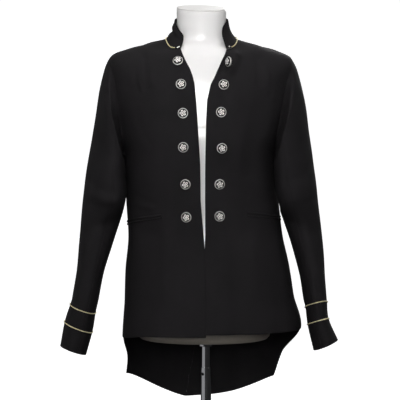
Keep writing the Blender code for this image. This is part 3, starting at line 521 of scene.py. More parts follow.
    def place(self, side: Side, x: float, z: float) -> tuple[Array, Array]:
        """Row and angle of the front's point that is seen at x and z."""
        def angle_of(row: Array) -> Array:
            """Angle at which a row has that x."""
            return self.angle_at_x(side, row, x)
        row = self.row_where(side, angle_of, np.asarray(z, float))
        return row, angle_of(row)

    def side_x(self, side: Side, z: Array) -> Array:
        """How far out the body's side is at a height."""
        points = self.bare(side, np.linspace(self.underarm_row, self.hem_row, self.side_samples),
                           HALF_TURN / 2)
        return np.interp(-np.asarray(z), -points[:, 2], points[:, 0])


def mesh_object(name: str, points: Array, faces: list, uv: Array | None = None,
                recess: Array | None = None) -> Piece:
    """Put arrays into a closed mesh at the origin, faces out and shaded smooth.

    Args:
        name: the object's name.
        points: one row of X, Y, Z per vertex.
        faces: vertex numbers per face.
        uv: one row of U, V per vertex, in metres along the cloth.
        recess: how deep each vertex lies in a relief, from 0 to 1.

    Returns:
        The new object, linked to the scene.
    """
    mesh = bpy.data.meshes.new(name)
    mesh.from_pydata(np.asarray(points).tolist(), [], faces if isinstance(faces, list) else faces.tolist())
    work = bmesh.new()
    work.from_mesh(mesh)
    bmesh.ops.recalc_face_normals(work, faces=work.faces)
    if work.calc_volume(signed=True) < 0:
        bmesh.ops.reverse_faces(work, faces=work.faces)
    work.to_mesh(mesh)
    work.free()
    if uv is not None:
        layer = mesh.uv_layers.new(name="cloth")
        corners = np.empty(len(mesh.loops), np.int32)
        mesh.loops.foreach_get("vertex_index", corners)
        layer.data.foreach_set("uv", uv[corners].astype(np.float32).ravel())
    if recess is not None:
        values = mesh.attributes.new("recess", "FLOAT", "POINT")
        values.data.foreach_set("value", recess.astype(np.float32))
    mesh.shade_smooth()
    result = bpy.data.objects.new(name, mesh)
    bpy.context.scene.collection.objects.link(result)
    return result


def grid_faces(rows: int, columns: int, wrap: bool = False, loop: bool = False) -> Array:
    """Quads of a grid, in the order that faces the cross of column by row.

    Args:
        rows: number of points down.
        columns: number of points across.
        wrap: whether the last column joins the first.
        loop: whether the last row joins the first.

    Returns:
        One row of four vertex numbers per quad.
    """
    index = np.arange(rows * columns).reshape(rows, columns)
    if wrap:
        index = np.concatenate([index, index[:, :1]], axis=1)
    if loop:
        index = np.concatenate([index, index[:1]])
    quads = np.stack([index[:-1, :-1], index[1:, :-1], index[1:, 1:], index[:-1, 1:]], axis=-1)
    return quads.reshape(-1, 4)


def capped_faces(count: int, sides: int) -> list:
    """Faces of stacked rings with a fan at each end.

    Args:
        count: number of rings.
        sides: points on each ring.

    Returns:
        Vertex numbers per face, the two fan middles numbered last.
    """
    ring = np.arange(sides)
    ahead = np.roll(ring, -1)
    below = (count - 1) * sides
    first = np.stack([np.full(sides, count * sides), ring, ahead], axis=1)
    last = np.stack([np.full(sides, count * sides + 1), ahead + below, ring + below], axis=1)
    return grid_faces(count, sides, wrap=True).tolist() + first.tolist() + last.tolist()


@dataclass(frozen=True)
class Shell:
    """A sewn panel as a closed wall with rounded edges.

    The outer and the inner face are the panel's grid, set half a wall in from its
    edge. Each edge is carried on by a quarter circle of half the wall's thickness,
    sine outwards and 1 - cosine inwards, so the two faces meet in the wall's middle."""

    thickness: float = CLOTH
    gap: float = 0.000015

    def spread(self, grid: Array, turns: tuple[Array, Array]) -> Array:
        """Repeat a grid's border rows and columns once for each step of the rim."""
        rows = np.clip(np.arange(len(turns[0])) - RIM_STEPS, 0, grid.shape[0] - 1)
        columns = np.clip(np.arange(len(turns[1])) - RIM_STEPS, 0, grid.shape[1] - 1)
        return grid[rows][:, columns]

    def build(self, name: str, grid: Array, normals: Array) -> Piece:
        """Make the wall from a grid of outer points and its normals.

        Args:
            name: the piece's name.
            grid: outer points, rows down and columns across.
            normals: outward normals at those points.

        Returns:
            The panel's object, with its cloth lengths as UV.
        """
        half = self.thickness / 2
        grid = grid.copy()
        ways = {}
        for axis in (0, 1):
            view = np.moveaxis(grid, axis, 0)
            ways[axis] = (unit(view[0] - view[1]), unit(view[-1] - view[-2]))
        down_way = np.zeros_like(grid)
        down_way[0], down_way[-1] = ways[0]
        side_way = np.zeros_like(grid)
        side_way[:, 0], side_way[:, -1] = ways[1]
        grid -= (down_way + side_way) * (half + self.gap)
        rim = np.linspace(0, np.pi / 2, RIM_STEPS + 1)[1:]
        turns = tuple(np.concatenate([rim[::-1], np.zeros(count), rim]) for count in grid.shape[:2])
        turn_down, turn_side = turns[0][:, None, None], turns[1][None, :, None]
        base, normal = self.spread(grid, turns), self.spread(normals, turns)
        reach = half * (np.sin(turn_down) * self.spread(down_way, turns)
                        + np.sin(turn_side) * self.spread(side_way, turns))
        depth = half * (1 - np.cos(turn_down) * np.cos(turn_side))
        outer = base + reach - depth * normal
        inner = base + reach - (self.thickness - depth) * normal
        rows, columns = outer.shape[:2]
        count = rows * columns
        number = np.arange(count).reshape(rows, columns)
        twin = number + count
        twin[0], twin[-1], twin[:, 0], twin[:, -1] = number[0], number[-1], number[:, 0], number[:, -1]
        quads = grid_faces(rows, columns)
        below = twin.reshape(-1)[quads][:, ::-1]
        faces = np.concatenate([quads, below])
        used = np.unique(faces)
        renumber = np.zeros(2 * count, int)
        renumber[used] = np.arange(len(used))
        points = np.concatenate([outer.reshape(-1, 3), inner.reshape(-1, 3)])[used]
        lengths = self.cloth_lengths(outer)
        uv = np.concatenate([lengths, lengths])[used]
        return mesh_object(name, points, renumber[faces], uv)

    @staticmethod
    def cloth_lengths(grid: Array) -> Array:
        """U and V: the length along each row and down each column, in metres."""
        across = np.linalg.norm(np.diff(grid, axis=1), axis=-1)
        down = np.linalg.norm(np.diff(grid, axis=0), axis=-1)
        u = np.concatenate([np.zeros((len(grid), 1)), np.cumsum(across, axis=1)], axis=1)
        v = np.concatenate([np.zeros((1, grid.shape[1])), np.cumsum(down, axis=0)], axis=0)
        return np.stack([u, v], axis=-1).reshape(-1, 2)


def tube_mesh(name: str, path: Array, radius: Callable, sides: int, closed: bool) -> Piece:
    """A cord: circles carried along a path, each with a radius by place and turn.

    Args:
        name: the piece's name.
        path: points along the cord.
        radius: gives the radius from (length along, angle round).
        sides: points round the cord.
        closed: whether the path joins its own start.

    Returns:
        The cord's object, with length along and round as UV.
    """
    if closed:
        tangent = unit(np.roll(path, -1, axis=0) - np.roll(path, 1, axis=0))
        path, tangent = (np.concatenate([a, a[:1]]) for a in (path, tangent))
    else:
        tangent = unit(np.gradient(path, axis=0))
    inward = path.mean(axis=0) - path
    inward = unit(inward - (inward * tangent).sum(1, keepdims=True) * tangent)
    other = np.cross(tangent, inward)
    along = lengths_along(path)
    turn = np.linspace(0, 2 * np.pi, sides, endpoint=False)
    size = radius(along[:, None], turn[None, :])
    if closed:
        size[-1] = size[0]
    else:
        size = size * end_taper(along, CORD_TAPER, CORD_TIP)[:, None]
    rings = path[:, None] + size[..., None] * (np.cos(turn)[None, :, None] * inward[:, None]
                                               + np.sin(turn)[None, :, None] * other[:, None])
    if closed:
        rings, along = rings[:-1], along[:-1]
    count = len(rings)
    points = rings.reshape(-1, 3)
    uv = np.stack([np.repeat(along, sides), np.tile(turn * CORD_UV_RADIUS, count)], axis=1)
    if closed:
        return mesh_object(name, points, grid_faces(count, sides, wrap=True, loop=True)[:, ::-1], uv)
    points = np.concatenate([points, path[:1], path[-1:]])
    uv = np.concatenate([uv, uv[:1], uv[-1:]])
    return mesh_object(name, points, [face[::-1] for face in capped_faces(count, sides)], uv)


def capped_rings(name: str, rings: Array, recess: Array | None = None,
                 uv: Array | None = None) -> Piece:
    """A closed solid through rings of equal count, with a fan at each end.

    Args:
        name: the piece's name.
        rings: rings along the first axis, points round the second.
        recess: how deep each point lies in a relief, from 0 to 1.
        uv: cloth lengths for all points, the two fan middles last.

    Returns:
        The solid's object.
    """
    points = np.concatenate([rings.reshape(-1, 3), [rings[0].mean(0)], [rings[-1].mean(0)]])
    if recess is not None:
        recess = np.concatenate([recess.reshape(-1), [recess[0].mean(), recess[-1].mean()]])
    return mesh_object(name, points, capped_faces(*rings.shape[:2]), uv, recess)


def sharpen(piece: Piece) -> None:
    """Keep the edges that bend more than SHARP_DEGREES sharp in the shading."""
    piece.data.set_sharp_from_angle(angle=math.radians(SHARP_DEGREES))


def dress(piece: Piece, finish: Material, slot: Slot, body: str,
          *nodes: str) -> Piece:
    """Give a piece its finish and body, and hide the solids that it stands for."""
    piece.data.materials.append(finish)
    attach(piece, body)
    if nodes:
        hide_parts(*nodes)
    LOG.info("%s: %d faces", piece.name, len(piece.data.polygons))
    return piece


@dataclass
class Fronts:
    """The two fronts, from their open edges to the shoulder, arm and side."""

    coat: CoatBody
    word: str = "front"
    shell: Shell = Shell()
    shoulder_steps: int = 26
    armhole_steps: int = 72
    skirt_steps: int = 110
    columns: int = 92

    def rows(self, last_row: int, tail_steps: int = 0) -> Array:
        """Rows from the neckline: even ones, the armhole's own, and even ones on."""
        top = np.linspace(0, self.coat.tip_row, self.shoulder_steps, endpoint=False)
        arm = self.coat.armhole_rows(self.armhole_steps)
        skirt = np.linspace(self.coat.underarm_row, self.coat.hem_row, self.skirt_steps + 1)[1:]
        tail = np.linspace(self.coat.hem_row, last_row, tail_steps + 1)[1:]
        return np.concatenate([top, arm, skirt, tail])

    def panel(self, name: str, side: Side, rows: Array, start: Array, end: Array) -> Piece:
        """Make one panel: angles run evenly from start to end along each row."""
        angles = start[:, None] + (end - start)[:, None] * np.linspace(0, 1, self.columns)
        grid_rows = np.broadcast_to(rows[:, None], angles.shape)
        outer = self.coat.outer(side, grid_rows, angles)
        return self.shell.build(name, outer, self.coat.outer_normal(side, grid_rows, angles))

    def span(self, side: Side) -> tuple[Array, Array, Array]:
        """Rows of a front and the angles that they start and end at."""
        rows = self.rows(self.coat.hem_row)
        return rows, self.coat.front_edge(side, rows), self.coat.outer_seam(side, rows, Face.FRONT)

    def build(self, finish: Material) -> list[Piece]:
        """Make and dress the panel of each side."""
        made = []
        for side in Side:
            piece = self.panel(f"cloth_{self.word}_{side.word}", side, *self.span(side))
            made.append(dress(piece, finish, Slot.SUITING, "form", f"{self.word}_{side.word}"))
        return made


@dataclass
class Backs(Fronts):
    """The two back halves, which run on below the hem as the tail. The shell's gap is
    smaller here, so that the centre-back seam lets no light through."""

    word: str = "back"
    shell: Shell = Shell(gap=0.000002)
    columns: int = 80
    tail_steps: int = 34

    def span(self, side: Side) -> tuple[Array, Array, Array]:
        """Rows of a back and the angles that they start and end at."""
        rows = self.rows(self.coat.tail_row, self.tail_steps)
        return rows, self.coat.outer_seam(side, rows, Face.BACK), np.full(len(rows), HALF_TURN)


@dataclass
class Sleeves:
    """Two-piece sleeves, carried from the armhole's ring to flattened ellipses."""

    coat: CoatBody
    shell: Shell = Shell()
    rings: dict = field(default_factory=lambda: {
        Side.RIGHT: [ArmRing(*row) for row in (
            ("armhole", -.204, 1.4435, -.178, 1.235, .069, .0),
            ("rope", -.2128, 1.435, -.1786, 1.2315, .069, .0),
            ("head", -.2205, 1.414, -.1788, 1.227, .07, .0),
            ("cap", -.23, 1.375, -.1788, 1.219, .072, .0),
            ("upper arm", -.2382, 1.327, -.1784, 1.208, .073, .0),
            ("under arm", -.2465, 1.272, -.1779, 1.19, .072, -.002),
            ("above elbow", -.2567, 1.2175, -.1768, 1.164, .069, -.005),
            ("elbow", -.2648, 1.16, -.1758, 1.13, .065, -.008),
            ("below elbow", -.2722, 1.092, -.186, 1.088, .061, -.012),
            ("forearm", -.2768, 1.033, -.2045, 1.031, .058, -.017),
            ("mid forearm", -.283, .972, -.223, .968, .054, -.023, .0005),
            ("wrist", -.2915, .92, -.2342, .912, .051, -.028, .001),
            ("upper piping", -.2955, .906, -.2402, .8862, .05, -.03, .0015),
            ("lower piping", -.3078, .8684, -.2472, .8442, .049, -.034, .002),
            ("cuff end", -.3178, .8155, -.2614, .795, .048, -.037, .0035))],
        Side.LEFT: [ArmRing(*row) for row in (
            ("armhole", .184, 1.4395, .15, 1.235, .069, .0),
            ("rope", .1905, 1.4315, .1506, 1.2315, .069, .0),
            ("head", .1985, 1.413, .1508, 1.227, .07, .0),
            ("cap", .2085, 1.375, .1508, 1.219, .072, .0),
            ("upper arm", .2172, 1.327, .1506, 1.208, .073, .0),
            ("under arm", .2246, 1.272, .1504, 1.19, .072, -.002),
            ("above elbow", .2329, 1.2175, .151, 1.164, .069, -.005),
            ("elbow", .241, 1.16, .154, 1.13, .065, -.008),
            ("below elbow", .2478, 1.092, .168, 1.09, .061, -.012, .001),
            ("forearm", .254, 1.033, .187, 1.032, .058, -.017, .004),
            ("mid forearm", .2588, .972, .2035, .97, .054, -.023, .008),
            ("wrist", .2625, .92, .2128, .916, .051, -.028, .0115),
            ("upper piping", .2636, .91, .2168, .899, .05, -.03, .012),
            ("lower piping", .2678, .8742, .2211, .861, .049, -.034, .01),
            ("cuff end", .2877, .8281, .234, .8049, .048, -.037, .004))]})
    folds: dict = field(default_factory=lambda: {
        Side.RIGHT: [
            *folds(Face.FRONT,
                (-.206, 1.424, -.196, 1.398, .006, -.0016),
                (-.212, 1.368, -.195, 1.318, .0055, -.0032, .002),
                (-.222, 1.36, -.21, 1.318, .007, .001), (-.24, 1.262, -.206, 1.232, .009, -.0014, .004),
                (-.192, 1.196, -.178, 1.184, .006, -.002), (-.25, 1.178, -.196, 1.158, .01, -.002, .005),
                (-.244, 1.15, -.19, 1.14, .008, .0016, .004),
                (-.25, 1.128, -.19, 1.128, .009, -.0024, .005),
                (-.246, 1.096, -.206, 1.106, .008, .0014), (-.262, 1.064, -.214, 1.08, .01, -.0018, -.004),
                (-.246, 1.03, -.262, .96, .012, -.0014), (-.262, .99, -.24, .93, .01, .001)),
            *folds(Face.BACK,
                (-.214, 1.39, -.196, 1.32, .008, -.0022), (-.246, 1.19, -.192, 1.172, .01, -.0022, .004),
                (-.252, 1.16, -.2, 1.15, .009, .0016), (-.258, 1.126, -.196, 1.118, .01, -.0026, -.004),
                (-.262, 1.08, -.214, 1.094, .01, -.0016), (-.262, 1.02, -.258, .93, .012, -.0014))],
        Side.LEFT: [
            *folds(Face.FRONT,
                (.186, 1.424, .178, 1.392, .006, -.0016), (.2, 1.352, .18, 1.3, .008, -.0014, -.003),
                (.218, 1.26, .18, 1.236, .01, -.0016, -.004),
                (.226, 1.204, .168, 1.184, .01, -.0018, -.005),
                (.222, 1.168, .17, 1.158, .009, .0014), (.232, 1.136, .172, 1.128, .01, -.0022, -.004),
                (.236, 1.09, .186, 1.1, .009, .0012), (.24, 1.062, .196, 1.074, .01, -.0014),
                (.226, 1.02, .24, .95, .012, -.0012)),
            *folds(Face.BACK,
                (.2, 1.386, .18, 1.318, .008, -.002), (.228, 1.186, .172, 1.168, .01, -.0022, -.004),
                (.232, 1.15, .176, 1.142, .009, .0014), (.238, 1.114, .18, 1.108, .01, -.0024, .004),
                (.236, 1.016, .24, .93, .012, -.0014))]})
    ripple: Ripple = Ripple(seed=23, height=.0006, shortest=.030, longest=.120)
    head_stations: float = 2.0
    clear_of_body: float = 0.0011
    lap: float = 0.0036
    lap_forward: float = 0.052
    lap_stations: tuple = (1.2, 3.0, 6.3, 7.5)
    lean_stations: tuple = (0.6, 2.2, 7.0, 8.2)
    seam_gap: float = 0.00020
    underarm_gap: float = 0.0020
    seam_share: float = 5 / 8
    top_columns: int = 66
    under_columns: int = 40
    ring_step: float = 0.0046
    level_reach: float = 0.4
    underarm_turn: tuple = (0.5, 0.9)
    folds_full: float = 1.2
    folds_facing: float = 0.02
    ripple_radius: float = 0.06
    fine_steps: int = 700

    def bare(self, side: Side, position: Array, turn: Array) -> Array:
        """Sleeve before folds: an ellipse between each ring's outer and inner
        point, which grows out of the armhole's ring over the first two rings.
        Down to the elbow its inner side leans forward and laps against the body. The
        lap and the lean have their own four stations: start, full, fade and end.

        Args:
            side: the wearer's side.
            position: place along the table's rings.
            turn: angle round the ring, from its outer point by the front.

        Returns:
            Points of the sleeve's outer face.
        """
        position, turn = np.broadcast_arrays(np.asarray(position, float), np.asarray(turn, float))
        table = self.rings[side]
        outer_x, outer_z, inner_x, inner_z, depth, centre_y, front_rise = (
            column(table, name, position) for name in ArmRing._fields[1:])
        wall_x = self.coat.side_x(side, inner_z)
        lapped, leaning = (smooth(position, start, full) * (1 - smooth(position, fade, end))
                           for start, full, fade, end in (self.lap_stations, self.lean_stations))
        against = side.value * wall_x + self.clear_of_body - (self.clear_of_body + self.lap) * lapped
        near = np.maximum(side.value * inner_x, against)
        inner_x = side.value * (near + (against - near) * lapped)
        outer = np.stack([outer_x, np.zeros_like(outer_x), outer_z], axis=-1)
        inner = np.stack([inner_x, np.zeros_like(inner_x), inner_z], axis=-1)
        ring = (outer + inner) / 2 + np.cos(turn)[..., None] * (outer - inner) / 2
        ring[..., 1] = centre_y - depth * np.sin(turn) - self.lap_forward * leaning * (1 - np.cos(turn)) / 2
        ring[..., 2] += front_rise * np.sin(turn)
        weight = smooth(position, 0.0, self.head_stations)[..., None]
        return self.armhole(side, turn) * (1 - weight) + ring * weight

    def armhole_place(self, side: Side, turn: Array) -> tuple[Array, Array]:
        """Rows and angles of the armhole's ring: rows by the turn's cosine, down the
        front seam for the first half turn and up the back seam for the second."""
        turn = np.mod(turn, 2 * np.pi)
        is_front = turn <= np.pi
        middle, half = self.coat.armhole_span
        row = middle - half * np.cos(turn)
        angle = np.where(is_front, self.coat.outer_seam(side, row, Face.FRONT),
                         self.coat.outer_seam(side, row, Face.BACK))
        return row, angle

    def armhole(self, side: Side, turn: Array) -> Array:
        """The armhole's ring on the coat's outer face."""
        return self.coat.outer(side, *self.armhole_place(side, turn))

    def outer(self, side: Side, position: Array, turn: Array) -> Array:
        """The sleeve's outer face with its folds and ripple, none at the armhole."""
        position, turn = np.broadcast_arrays(np.asarray(position, float), np.asarray(turn, float))
        points = self.bare(side, position, turn)
        centre = column(self.rings[side], "centre_y", position)
        flat = points - np.stack([0 * centre, centre, 0 * centre], axis=-1)
        push = fold_push(self.folds[side], flat, self.folds_facing)
        push += self.ripple.push(np.cos(turn) * self.ripple_radius + side.value, points[..., 2])
        push *= smooth(position, 0.0, self.folds_full)
        return points + self.normal(self.bare, side, position, turn) * push[..., None]

    def normal(self, surface: Callable, side: Side, position: Array, turn: Array) -> Array:
        """Outward normals of a surface of the sleeve, from small steps along and round."""
        along = surface(side, position + STEP, turn) - surface(side, position - STEP, turn)
        around = surface(side, position, turn + STEP) - surface(side, position, turn - STEP)
        return unit(-side.value * np.cross(along, around))

    def positions(self, side: Side) -> Array:
        """Ring positions an even length apart, along the mean of four lines."""
        fine = np.linspace(0, len(self.rings[side]) - 1, self.fine_steps)
        lines = self.bare(side, fine[:, None], np.arange(4)[None, :] * np.pi / 2)
        steps = np.linalg.norm(np.diff(lines, axis=0), axis=-1).mean(axis=1)
        length = np.concatenate([[0], np.cumsum(steps)])
        count = round(length[-1] / self.ring_step)
        return np.interp(np.linspace(0, length[-1], count + 1), length, fine)

    def join_armhole(self, side: Side, turn: Array, grid: Array, normals: Array) -> None:
        """Set a panel's first row and its normals against the coat's wall.

        The row faces away from the armhole's middle. It moves so that the middles of
        the two walls meet, seam_gap apart. Under the arm, where -cos of the turn passes
        underarm_turn and the coat faces another way, it stays and keeps underarm_gap
        besides.

        Args:
            side: the wearer's side.
            turn: angles of the panel's columns.
            grid: the panel's outer points, whose first row is changed.
            normals: the panel's normals, whose first row is changed.
        """
        away = np.array([side.value, 0.0, 0.0])
        ring = self.armhole(side, turn)
        inward = self.armhole(side, np.linspace(0, 2 * np.pi, 64)).mean(axis=0) - ring
        normals[0] = -unit(inward * np.array([0.0, 1.0, 1.0]))
        coat_normal = self.coat.outer_normal(side, *self.armhole_place(side, turn))
        level = smooth(np.sum(normals[0] * coat_normal, axis=-1), 0.0, self.level_reach)
        level = (1 - (1 - level) * smooth(-np.cos(turn), *self.underarm_turn))[:, None]
        grid[0] += level * CLOTH / 2 * (normals[0] - coat_normal)
        grid[0] += (self.seam_gap + self.underarm_gap * (1 - level)) * away

    def build(self, finish: Material) -> list[Piece]:
        """Make and dress the top and the under sleeve of each arm."""
        made = []
        seam = self.seam_share * np.pi
        for side in Side:
            positions = self.positions(side)
            for part, first, last, columns in (
                    ("top", -seam, seam, self.top_columns),
                    ("under", seam, 2 * np.pi - seam, self.under_columns)):
                turn = np.linspace(first, last, columns)
                grid = self.outer(side, positions[:, None], turn[None, :])
                normals = self.normal(self.outer, side, positions[:, None], turn[None, :])
                self.join_armhole(side, turn, grid, normals)
                piece = self.shell.build(f"cloth_{part}_sleeve_{side.word}", grid, normals)
                made.append(dress(piece, finish, Slot.SUITING, "form", f"{part}_sleeve_{side.word}"))
        return made


@dataclass
class Collar:
    """The stand collar, with rounded front corners, and the cord in its seam."""

    coat: CoatBody
    lift: float = 0.0006
    bend: Stand = Stand("bend", .0635, 1.4990, .0660, 1.4645, .0570, 1.5110)
    top: Stand = Stand("top edge", .0575, 1.5240, .0580, 1.4780, .0545, 1.5320)
    ends: dict = field(default_factory=lambda: {Side.RIGHT: (36.0, 40.0), Side.LEFT: (45.5, 48.5)})
    piping_ends: dict = field(default_factory=lambda: {Side.RIGHT: 46.5, Side.LEFT: 56.5})
    shell: Shell = Shell(thickness=COLLAR_CLOTH)
    ripple: Ripple = Ripple(seed=5, height=.0003, shortest=.020, longest=.060)
    corner: float = 0.012
    height: float = 0.040
    columns: int = 230
    steps: int = 26
    piping_radius: float = 0.00125
    piping_gap: float = 0.0008
    piping_points: int = 420
    drop: float = 0.0095
    drop_at: tuple = (58.0, 33.0)
    drop_power: float = 1.4
    buckle_at: tuple = (80.0, 38.0)
    buckles: tuple = ((1.32, .45, .0030), (.55, .40, .0018), (.93, .22, -.0016))

    @property
    def table(self) -> list:
        """The collar's three rings, of which the base follows the neckline."""
        neck = self.coat.rings[0]
        base = Stand("base", neck.right_w, neck.right_z + self.lift, neck.front_y,
                     neck.right_front_z + self.lift, neck.back_y, neck.back_z + self.lift)
        return [base, self.bend, self.top]

    def surface(self, side: Side, row: Array, angle: Array) -> Array:
        """Outer face: an ellipse per row, whose height follows the sine squared."""
        row, angle = np.broadcast_arrays(np.asarray(row, float), np.asarray(angle, float))
        table = self.table
        sine, cosine = np.sin(np.radians(angle)), np.cos(np.radians(angle))
        x = self.coat.rings[0].centre_x + side.value * column(table, "half_w", row) * sine
        is_front = cosine > 0
        depth = np.where(is_front, -column(table, "front_y", row), column(table, "back_y", row))
        end_z = np.where(is_front, column(table, "front_z", row), column(table, "back_z", row))
        dip = self.coat.neck_dip(side, row, angle)
        z = end_z + (column(table, "side_z", row) - end_z) * sine ** 2 - dip
        return np.stack([x, depth * np.abs(cosine) - self.coat.dip_forward * dip, z], axis=-1)

    def slump(self, turn: Array, row: Array) -> tuple[Array, Array]:
        """How far the right side sinks and buckles: its top edge drops most, and it
        bulges out above and below a level crease. Each buckle is a hump of the row,
        by its middle, half width and height.

        Args:
            turn: angle from the left end past 180 to the right.
            row: place up the collar, from 0 to 2.

        Returns:
            The drop, and the push along the normal, in metres.
        """
        angle = FULL_TURN - turn
        drop = self.drop * hump(angle, *self.drop_at) * (row / 2) ** self.drop_power
        push = sum(depth * hump(row, middle, half) for middle, half, depth in self.buckles)
        return drop, push * hump(angle, *self.buckle_at)

    def end_angle(self, side: Side, height: Array) -> Array:
        """Angle of a front end, which slants evenly from its foot to its top."""
        foot, top = self.ends[side]
        return foot + (top - foot) * height

    def point(self, row: Array, turn: Array) -> tuple[Array, Array]:
        """Points and outward normals by the turn from the left end past 180 to the
        right. The collar's rows run up and the body's down, so the sign changes."""
        row, turn = np.broadcast_arrays(np.asarray(row, float), np.asarray(turn, float))
        is_left = turn <= HALF_TURN
        angle = np.where(is_left, turn, FULL_TURN - turn)
        points, normals = [], []
        for side in (Side.LEFT, Side.RIGHT):
            points.append(self.surface(side, row, angle))
            normals.append(self.coat.normal(self.surface, side, row, angle))
        pick = is_left[..., None]
        return np.where(pick, *points), -np.where(pick, *normals)

    def build(self, finish: Material) -> Piece:
        """Make and dress the collar."""
        share = np.linspace(0, 1, self.columns)[None, :]
        height = np.linspace(0, 1, self.steps)[:, None]
        left, right = self.end_angle(Side.LEFT, height), self.end_angle(Side.RIGHT, height)
        turn = left + (FULL_TURN - right - left) * share
        base, _ = self.point(0.0, turn[0])
        along = lengths_along(base)
        from_end = np.minimum(along, along[-1] - along)
        cut = self.corner - np.sqrt(self.corner ** 2 - np.clip(self.corner - from_end, 0, self.corner) ** 2)
        rows = height * 2 * (1 - cut[None, :] / self.height)
        outer, normal = self.point(rows, turn)
        push = self.ripple.push(share * along[-1], height * self.height) * smooth(height, 0.0, 0.5)
        sunk, buckled = self.slump(turn, rows)
        outer = outer + normal * (push + buckled)[..., None]
        outer[..., 2] -= sunk
        piece = self.shell.build("cloth_collar", outer, normal)
        return dress(piece, finish, Slot.SUITING, "form", "collar")

    def piping_path(self) -> Array:
        """Line of the cord: in the crease, one radius and a gap off both faces,
        which is (r + gap) (n1 + n2) / (1 + n1.n2) from the seam."""
        turn = np.linspace(self.piping_ends[Side.LEFT], FULL_TURN - self.piping_ends[Side.RIGHT],
                           self.piping_points)
        crease, collar_normal = self.point(0.0, turn)
        angle = np.where(turn <= HALF_TURN, turn, FULL_TURN - turn)
        coat_normal = np.where((turn <= HALF_TURN)[:, None],
                               self.coat.outer_normal(Side.LEFT, 0.0 * turn, angle),
                               self.coat.outer_normal(Side.RIGHT, 0.0 * turn, angle))
        lean = 1 + (coat_normal * collar_normal).sum(1, keepdims=True)
        return crease + (self.piping_radius + self.piping_gap) * (coat_normal + collar_normal) / lean


@dataclass
class Piping:
    """Gold two-ply cords: in the neck seam and two round each cuff."""

    sleeves: Sleeves
    collar: Collar
    stations: dict = field(default_factory=lambda: {"upper": 12.0, "lower": 13.0})
    radius: float = 0.00110
    gap: float = 0.0001
    ply: int = 2
    lay_length: float = 0.0075
    groove: float = 0.16
    sides: int = 14
    rings: int = 300

    def twisted(self, length: float, closed: bool) -> Callable:
        """Radius of a twisted cord: r (1 - g + g |cos| of the ply angle), where a
        closed cord takes a whole number of turns."""
        turns = length / self.lay_length
        if closed:
            turns = round(turns)

        def radius(along: Array, turn: Array) -> Array:
            """Radius at a length along the cord and an angle round it."""
            phase = self.ply * turn / 2 - math.pi * turns * along / length
            return self.radius * (1 - self.groove + self.groove * np.abs(np.cos(phase)))
        return radius

    def cord(self, name: str, path: Array, closed: bool) -> Piece:
        """Make one twisted cord along a path."""
        ends = np.concatenate([path, path[:1]]) if closed else path
        length = float(np.linalg.norm(np.diff(ends, axis=0), axis=1).sum())
        return tube_mesh(name, path, self.twisted(length, closed), self.sides, closed)

    def build(self, finish: Material) -> list[Piece]:
        """Make and dress the neck cord and the four cuff cords."""
        neck = self.cord("gold_neck_cord", self.collar.piping_path(), False)
        made = [dress(neck, finish, Slot.GOLD, "form", "neck_piping")]
        for side in Side:
            for place, station in self.stations.items():
                turn = np.linspace(0, 2 * np.pi, self.rings, endpoint=False)
                points = self.sleeves.outer(side, station, turn)
                normal = self.sleeves.normal(self.sleeves.bare, side, np.full_like(turn, station), turn)
                path = points + (self.radius + self.gap) * normal
                cord = self.cord(f"gold_cuff_cord_{place}_{side.word}", path, True)
                made.append(dress(cord, finish, Slot.GOLD, "form", f"cuff_piping_{place}_{side.word}"))
        return made


